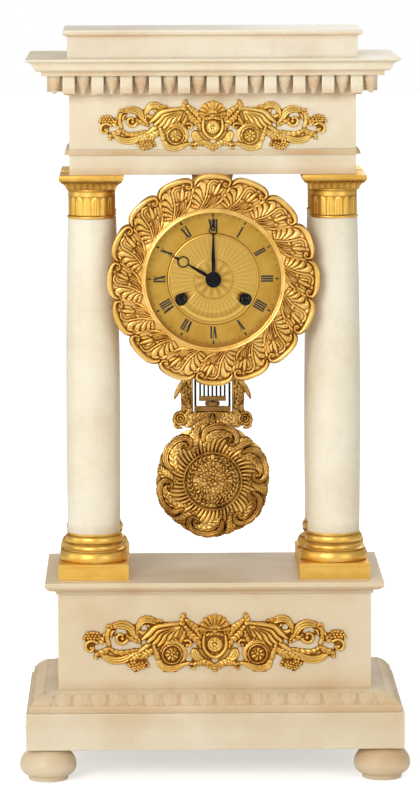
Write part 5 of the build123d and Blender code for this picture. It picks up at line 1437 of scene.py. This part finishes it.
def frame_relief(step):
    """The frame seen from the front; x from its middle line, y the height above the ground."""
    x, y = np.meshgrid(np.arange(-28, 28 + step, step), np.arange(219, 270, step), indexing="ij")
    f = relief_field(x, y)
    lay(f, [(-16.9, 269, 3.9), (-16.9, 260, 3.9), (-17.2, 252, 4.0), (-17.4, 244, 3.9), (-17.0, 236, 4.0), (-17.4, 228, 5.0)], 1.0, edge=0.85)
    lay(f, [(-24, 227.6, 3.0), (-12, 227.4, 5.6), (0, 227.4, 5.9), (12, 227.4, 5.6), (24, 227.6, 3.0)], 0.9, edge=0.9)
    lay(f, [(-15.4, 236, 1.3), (-18.4, 243, 2.6), (-19.2, 250, 2.7), (-18.2, 257, 2.0)], 2.2, lobes=7, slant=1.2)
    lay(f, [(-15.0, 250, 1.2), (-16.6, 257, 2.4), (-17.4, 263, 2.6), (-17.6, 268.6, 1.6)], 2.2, lobes=6, slant=1.2)
    lay(f, [(-18.6, 254, 1.5), (-21.6, 250, 1.7), (-23.8, 245.6, 1.5), (-25.4, 242.0, 0.6)], 2.0, edge=0.4, grooves=2)
    lay(f, [(-13.6, 233, 0.7), (-13.5, 250, 0.7), (-13.5, 268.6, 0.7)], 1.9, edge=0.5)
    lay(f, [(-21.0, 221.6, 1.2), (-24.2, 223.6, 1.9), (-25.2, 227.0, 1.3)], 1.9, lobes=4)
    bead(f, -21.6, 228.8, 4.9, 1.4)
    lay(f, curl(-21.6, 228.8, 3.9, 3.9, 250, -110, 1.1, 1.1, 24), 2.4, edge=0.25, lobes=14)
    lay(f, curl(-21.6, 228.8, 2.0, 2.0, 250, -110, 0.6, 0.6, 16), 2.3, edge=0.25)
    bead(f, -21.6, 228.8, 1.0, 2.9)
    for foot, end in (((-17.6, 231.6), (-13.4, 235.0)), ((-14.6, 229.0), (-8.8, 233.0)), ((-19.0, 234.0), (-19.4, 238.6))):
        lay(f, [(*foot, 0.9), ((foot[0] + end[0]) / 2, (foot[1] + end[1]) / 2 + 0.5, 1.6), (*end, 0.7)], 2.1, lobes=4)
    lay(f, [(-17.0, 223.0, 1.2), (-13.0, 227.4, 2.2), (-7.6, 230.6, 2.2), (-2.4, 231.0, 1.0)], 2.2, lobes=7, slant=1.0)
    lay(f, [(-12.0, 222.8, 1.2), (-8.0, 225.2, 2.0), (-3.6, 226.4, 1.5)], 2.0, lobes=5)
    lay(f, [(0, 222.4, 1.0), (0, 226.2, 2.0), (0, 231.4, 0.9)], 2.5, lobes=5)
    for key in ("height", "inside"):
        f[key] = np.maximum(f[key], f[key][::-1])
    f["inside"] = np.minimum(f["inside"], np.minimum(268.0 - y, y - 221.5))
    f["height"] += 0.16 * np.sin(4.2 * x) * np.sin(4.2 * y)
    return f


def as_frame(x, y, h):
    return np.stack([x, 14.9 - h, y], axis=-1)


frame_piece = cast_relief("pendulum_foliage", frame_relief(0.36), 0.36, as_frame, -2.5)
fit(frame_piece, "pendulum_foliage", "pendulum", "antique_gilt", antique_gilding, "pendulum_frame")

# The bob is a heavy casting of six acanthus scrolls that whirl clockwise, with painted shade between
# the leaves. Its back is a plain dished cover.
BOB_Z = 186.9
SCROLLS = 6
SCROLL_WIDE = 2 * math.pi * 30.0 / SCROLLS
SCROLL_COLUMNS = 104
SCROLL_ROWS = 66


def whirling_scroll():
    """One sixth of the bob as a relief; u runs clockwise, v out from the centre."""
    u = (np.arange(SCROLL_COLUMNS) / SCROLL_COLUMNS - 0.5) * SCROLL_WIDE
    ruffle = 0.8 * np.abs(np.sin(math.pi * u * 5 / SCROLL_WIDE)) ** 0.6 + 0.4 * np.abs(np.sin(math.pi * u * 17 / SCROLL_WIDE))
    edge = 36.7 + 1.4 * np.cos((u + 2.0) * math.pi / SCROLL_WIDE) ** 2 + ruffle
    share = np.linspace(0, 1, SCROLL_ROWS)
    x = np.repeat(u[:, None], SCROLL_ROWS, axis=1)
    y = 19.8 + share[None, :] * (edge[:, None] - 19.8)
    f = relief_field(x, y)
    put = lambda rows, lift, **more: lay(f, rows, lift, period=SCROLL_WIDE, **more)
    for k in range(9):
        a = -14.4 + 3.55 * k
        put([(a, 19.4, 1.2), (a + 0.8, 23.0, 1.5), (a + 2.4, 27.0, 1.7), (a + 5.0, 30.4, 1.2)], 1.5, edge=0.1, count=30)
    put([(8.2, 24.0, 1.6), (11.6, 28.6, 3.0), (14.0, 33.4, 3.2), (17.0, 37.0, 1.8)], 2.0, lobes=7, slant=1.2, depth=0.35)
    put([(-13.4, 24.4, 1.2), (-9.6, 28.6, 2.8), (-3.6, 32.2, 3.4), (2.6, 32.6, 2.8), (6.4, 30.6, 1.4)], 2.1, lobes=8, slant=1.2,
        depth=0.35)
    put([(-13.2, 28.0, 1.1), (-11.0, 33.2, 1.7), (-5.6, 36.6, 2.1), (1.0, 37.2, 2.1), (6.8, 35.4, 1.8), (9.8, 31.8, 1.5),
         (8.8, 28.2, 1.2), (5.4, 27.8, 1.1), (4.2, 30.0, 0.9)], 3.0, edge=0.25, grooves=2, count=100)
    bead(f, 5.8, 29.6, 1.3, 3.3, SCROLL_WIDE)
    bead(f, 12.6, 24.8, 1.1, 2.4, SCROLL_WIDE)
    return f


scroll = whirling_scroll()
bob_deep = hollows(scroll["height"], 4, 1.0, around=True)
bob_height = 0.75 * scroll["height"] + 0.25 * smoothed(scroll["height"], 1, around=True)
turn = ((np.arange(SCROLLS)[:, None, None] * SCROLL_WIDE + scroll["x"][None]) / 30.0 + math.radians(12)).reshape(-1, SCROLL_ROWS)
radius = np.tile(scroll["y"], (SCROLLS, 1))
swell = 2.2 + 2.6 * np.clip(1 - ((radius - 25.0) / 14.0) ** 2, 0, 1)
depth = 16.5 - swell - np.tile(bob_height, (SCROLLS, 1))
inner, outer = np.ones_like(turn[:, :1]), radius[:, -1:]
radius = np.concatenate([inner, 19.6 * inner, radius, outer, 30.0 * inner, 16.0 * inner, inner], axis=1)
depth = np.concatenate([11.5 * inner, 11.5 * inner, depth, 16.5 * inner, 16.6 * inner, 19.5 * inner, 19.5 * inner], axis=1)
turn = np.concatenate([turn[:, :1]] * 2 + [turn] + [turn[:, :1]] * 4, axis=1)
# The front of the inner ring and the outer rim are marked fully dark: painted shade.
deep = np.concatenate([inner, inner, np.tile(bob_deep, (SCROLLS, 1)), inner, 0 * inner, 0 * inner, 0 * inner], axis=1)
points = np.stack([radius * np.sin(turn), depth, BOB_Z + radius * np.cos(turn)], axis=-1)
rows, columns = deep.shape
faces = grid_faces(rows, columns, closed=True).tolist()
faces += [list(range(0, rows * columns, columns)), list(range(columns - 1, rows * columns, columns))]
bob = sculpted("bob", points.reshape(-1, 3), faces, deep.ravel())
fit(bob, "whirling_bob", "pendulum", "antique_gilt", antique_gilding, "pendulum_bob")

# The medallion in the bob's middle is cast separately and pressed in: a rolled ring round a bunch
# of flowers between two branches of laurel, all in low relief on a stippled ground.
def flower_relief(step):
    """The medallion seen from the front, from its centre."""
    x, y = np.meshgrid(np.arange(-21, 21 + step, step), np.arange(-21, 21 + step, step), indexing="ij")
    f = relief_field(x, y)
    f["inside"] = 20.0 - np.hypot(x, y)
    f["height"] = 0.9 + 0.12 * np.sin(7 * x) * np.sin(7 * y)
    lay(f, curl(0, 0, 18.2, 18.2, 0, 360, 0.35, 0.35, 40), 2.4, count=150)
    lay(f, curl(0, 0, 19.3, 19.3, 0, 360, 0.7, 0.7, 40), 3.4, edge=0.2, count=150)
    for side in (-1, 1):
        stem = curl(0, 0, 15.4, 15.4, 270, 270 + side * 172, 0.45, 0.3, 14)
        lay(f, stem, 1.7)
        for k in range(15):
            a = math.radians(270 + side * (8 + 11.3 * k))
            base = (15.4 * math.cos(a), 15.4 * math.sin(a))
            for lean, reach in ((34, 3.2), (-34, 3.4)):
                way = a + side * math.radians(90 + lean * -side)
                mid = (base[0] + 0.5 * reach * math.cos(way), base[1] + 0.5 * reach * math.sin(way))
                tip = (base[0] + reach * math.cos(way), base[1] + reach * math.sin(way))
                lay(f, [(*base, 0.4), (*mid, 0.85), (*tip, 0.25)], 2.2, edge=0.25, count=14)
    for cx, cy, r in ((0, 0, 3.8), (-6.2, 2.4, 2.9), (6.2, 2.4, 2.9), (-4.0, -5.6, 2.9), (4.2, -5.4, 2.9), (0, 6.6, 3.0),
                      (-9.8, -3.4, 2.4), (9.8, -3.2, 2.4), (0, -10.4, 2.5), (-5.6, 8.4, 2.5), (5.8, 8.2, 2.5),
                      (-10.6, 5.6, 2.0), (10.6, 5.4, 2.0), (0, 11.8, 2.1), (-7.2, -9.4, 2.1), (7.2, -9.2, 2.1)):
        petals = 7 if r > 3 else 5
        for k in range(petals):
            a = 2 * math.pi * k / petals + cx
            bead(f, cx + 0.6 * r * math.cos(a), cy + 0.6 * r * math.sin(a), 0.48 * r, 2.5)
        bead(f, cx, cy, 0.34 * r, 3.0)
    for k in range(14):
        a = math.radians(25.7 * k + 8)
        lay(f, [(10.6 * math.cos(a), 10.4 * math.sin(a), 0.5), (12.0 * math.cos(a + 0.06), 12.0 * math.sin(a + 0.06), 1.0),
                (13.4 * math.cos(a), 13.4 * math.sin(a), 0.3)], 2.1, edge=0.3, count=14)
    return f


def as_medal(x, y, h):
    return np.stack([x, 10.9 - h, BOB_Z + y], axis=-1)


medal = cast_relief("flower_medallion", flower_relief(0.3), 0.3, as_medal, -0.6)
# Its deep colour goes into the medallion's hollows as painted shade.
medal_gilding = gilt("medallion gilding", crevice_shading=0.85, grain=0.4, bright=(0.96, 0.66, 0.22, 1), matte=(0.60, 0.34, 0.085, 1),
                     deep=(0.06, 0.03, 0.01, 1))
fit(medal, "flower_medallion", "pendulum", "antique_gilt", medal_gilding, "bob_medallion")

# The clock is photographed on white paper in a soft studio light, from a little above the level
# of the bob and almost square to the dial.
paper = bpy.data.materials.new("white paper")
paper.use_nodes = True
paper_surface = paper.node_tree.nodes["Principled BSDF"]
paper_surface.inputs["Base Color"].default_value = (0.94, 0.94, 0.94, 1)
paper_surface.inputs["Roughness"].default_value = 0.9
paper_surface.inputs["Emission Color"].default_value = (1, 1, 1, 1)
paper_coords = node_of(paper.node_tree, "ShaderNodeTexCoord", (-900, -300))
paper_reach = node_of(paper.node_tree, "ShaderNodeVectorMath", (-700, -300), operation="LENGTH")
paper_glow = node_of(paper.node_tree, "ShaderNodeMapRange", (-500, -300))
paper_glow.inputs["From Min"].default_value = 0.2
paper_glow.inputs["From Max"].default_value = 1.6
paper_glow.inputs["To Min"].default_value = 0.5
paper_glow.inputs["To Max"].default_value = 0.8
paper_seen = node_of(paper.node_tree, "ShaderNodeLightPath", (-500, -600))
paper_light = node_of(paper.node_tree, "ShaderNodeMath", (-300, -400), operation="MULTIPLY")
for start, end in ((paper_coords.outputs["Object"], paper_reach.inputs[0]), (paper_reach.outputs["Value"], paper_glow.inputs["Value"]),
                   (paper_glow.outputs["Result"], paper_light.inputs[0]), (paper_seen.outputs["Is Camera Ray"], paper_light.inputs[1]),
                   (paper_light.outputs[0], paper_surface.inputs["Emission Strength"])):
    paper.node_tree.links.new(start, end)
bpy.ops.mesh.primitive_plane_add(size=16.0, location=(0, 0, 0))
floor = bpy.context.object
floor.name = "paper_floor"
floor.data.materials.append(paper)


def aim(obj, target):
    """Turns a lamp or the camera to look at a point."""
    obj.rotation_euler = (Vector(target) - obj.location).to_track_quat("-Z", "Y").to_euler()


def softbox(name, place, target, size, power, colour=(1, 1, 1)):
    """A square area lamp."""
    lamp = bpy.data.lights.new(name, "AREA")
    lamp.shape = "RECTANGLE"
    lamp.size, lamp.size_y = size
    lamp.energy = power
    lamp.color = colour
    obj = bpy.data.objects.new(name, lamp)
    bpy.context.scene.collection.objects.link(obj)
    obj.location = place
    aim(obj, target)


softbox("key", (-0.9, -1.9, 1.05), (0, 0, 0.34), (0.9, 0.9), 21.0)
softbox("fill", (1.3, -1.6, 0.7), (0, 0, 0.28), (0.8, 1.2), 6.0)
softbox("top", (0, -0.1, 1.5), (0, 0, 0.3), (1.2, 0.8), 2.0)
softbox("back", (0.5, 1.3, 1.0), (0, 0, 0.3), (1.0, 0.8), 4.0)
softbox("side", (-1.7, -0.4, 0.6), (0, 0, 0.3), (0.6, 1.2), 3.5)

world = bpy.data.worlds.new("studio")
bpy.context.scene.world = world
world.use_nodes = True
sky = world.node_tree
background = sky.nodes["Background"]
coords = node_of(sky, "ShaderNodeTexCoord", (-900, 0))
axes = node_of(sky, "ShaderNodeSeparateXYZ", (-700, 0))
sky.links.new(coords.outputs["Generated"], axes.inputs[0])
shade = ramp_of(sky, (-500, 0), (0.0, (0.18, 0.17, 0.16, 1)), (0.55, (0.42, 0.42, 0.42, 1)), (1.0, (0.5, 0.5, 0.5, 1)))
lift = node_of(sky, "ShaderNodeMapRange", (-600, -200))
lift.inputs["From Min"].default_value = -1.0
sky.links.new(axes.outputs["Z"], lift.inputs["Value"])
sky.links.new(lift.outputs["Result"], shade.inputs["Fac"])
seen = node_of(sky, "ShaderNodeLightPath", (-500, 300))
white = node_of(sky, "ShaderNodeMix", (-200, 100), data_type="RGBA")
white.inputs["B"].default_value = (1, 1, 1, 1)
sky.links.new(seen.outputs["Is Camera Ray"], white.inputs["Factor"])
sky.links.new(shade.outputs["Color"], white.inputs["A"])
sky.links.new(white.outputs["Result"], background.inputs["Color"])
background.inputs["Strength"].default_value = 1.0

bpy.context.scene.view_settings.view_transform = "Standard"
lens = bpy.data.cameras.new("camera")
lens.sensor_width = 36.0
lens.lens = 190.7
camera = bpy.data.objects.new("camera", lens)
bpy.context.scene.collection.objects.link(camera)
camera.location = (-0.041, -2.795, 0.6025)
aim(camera, (-0.041 + 0.0139 * 2.8, -2.795 + 0.9918 * 2.8, 0.6025 - 0.1276 * 2.8))
camera.rotation_euler.rotate_axis("Z", -0.0034)
bpy.context.scene.camera = camera
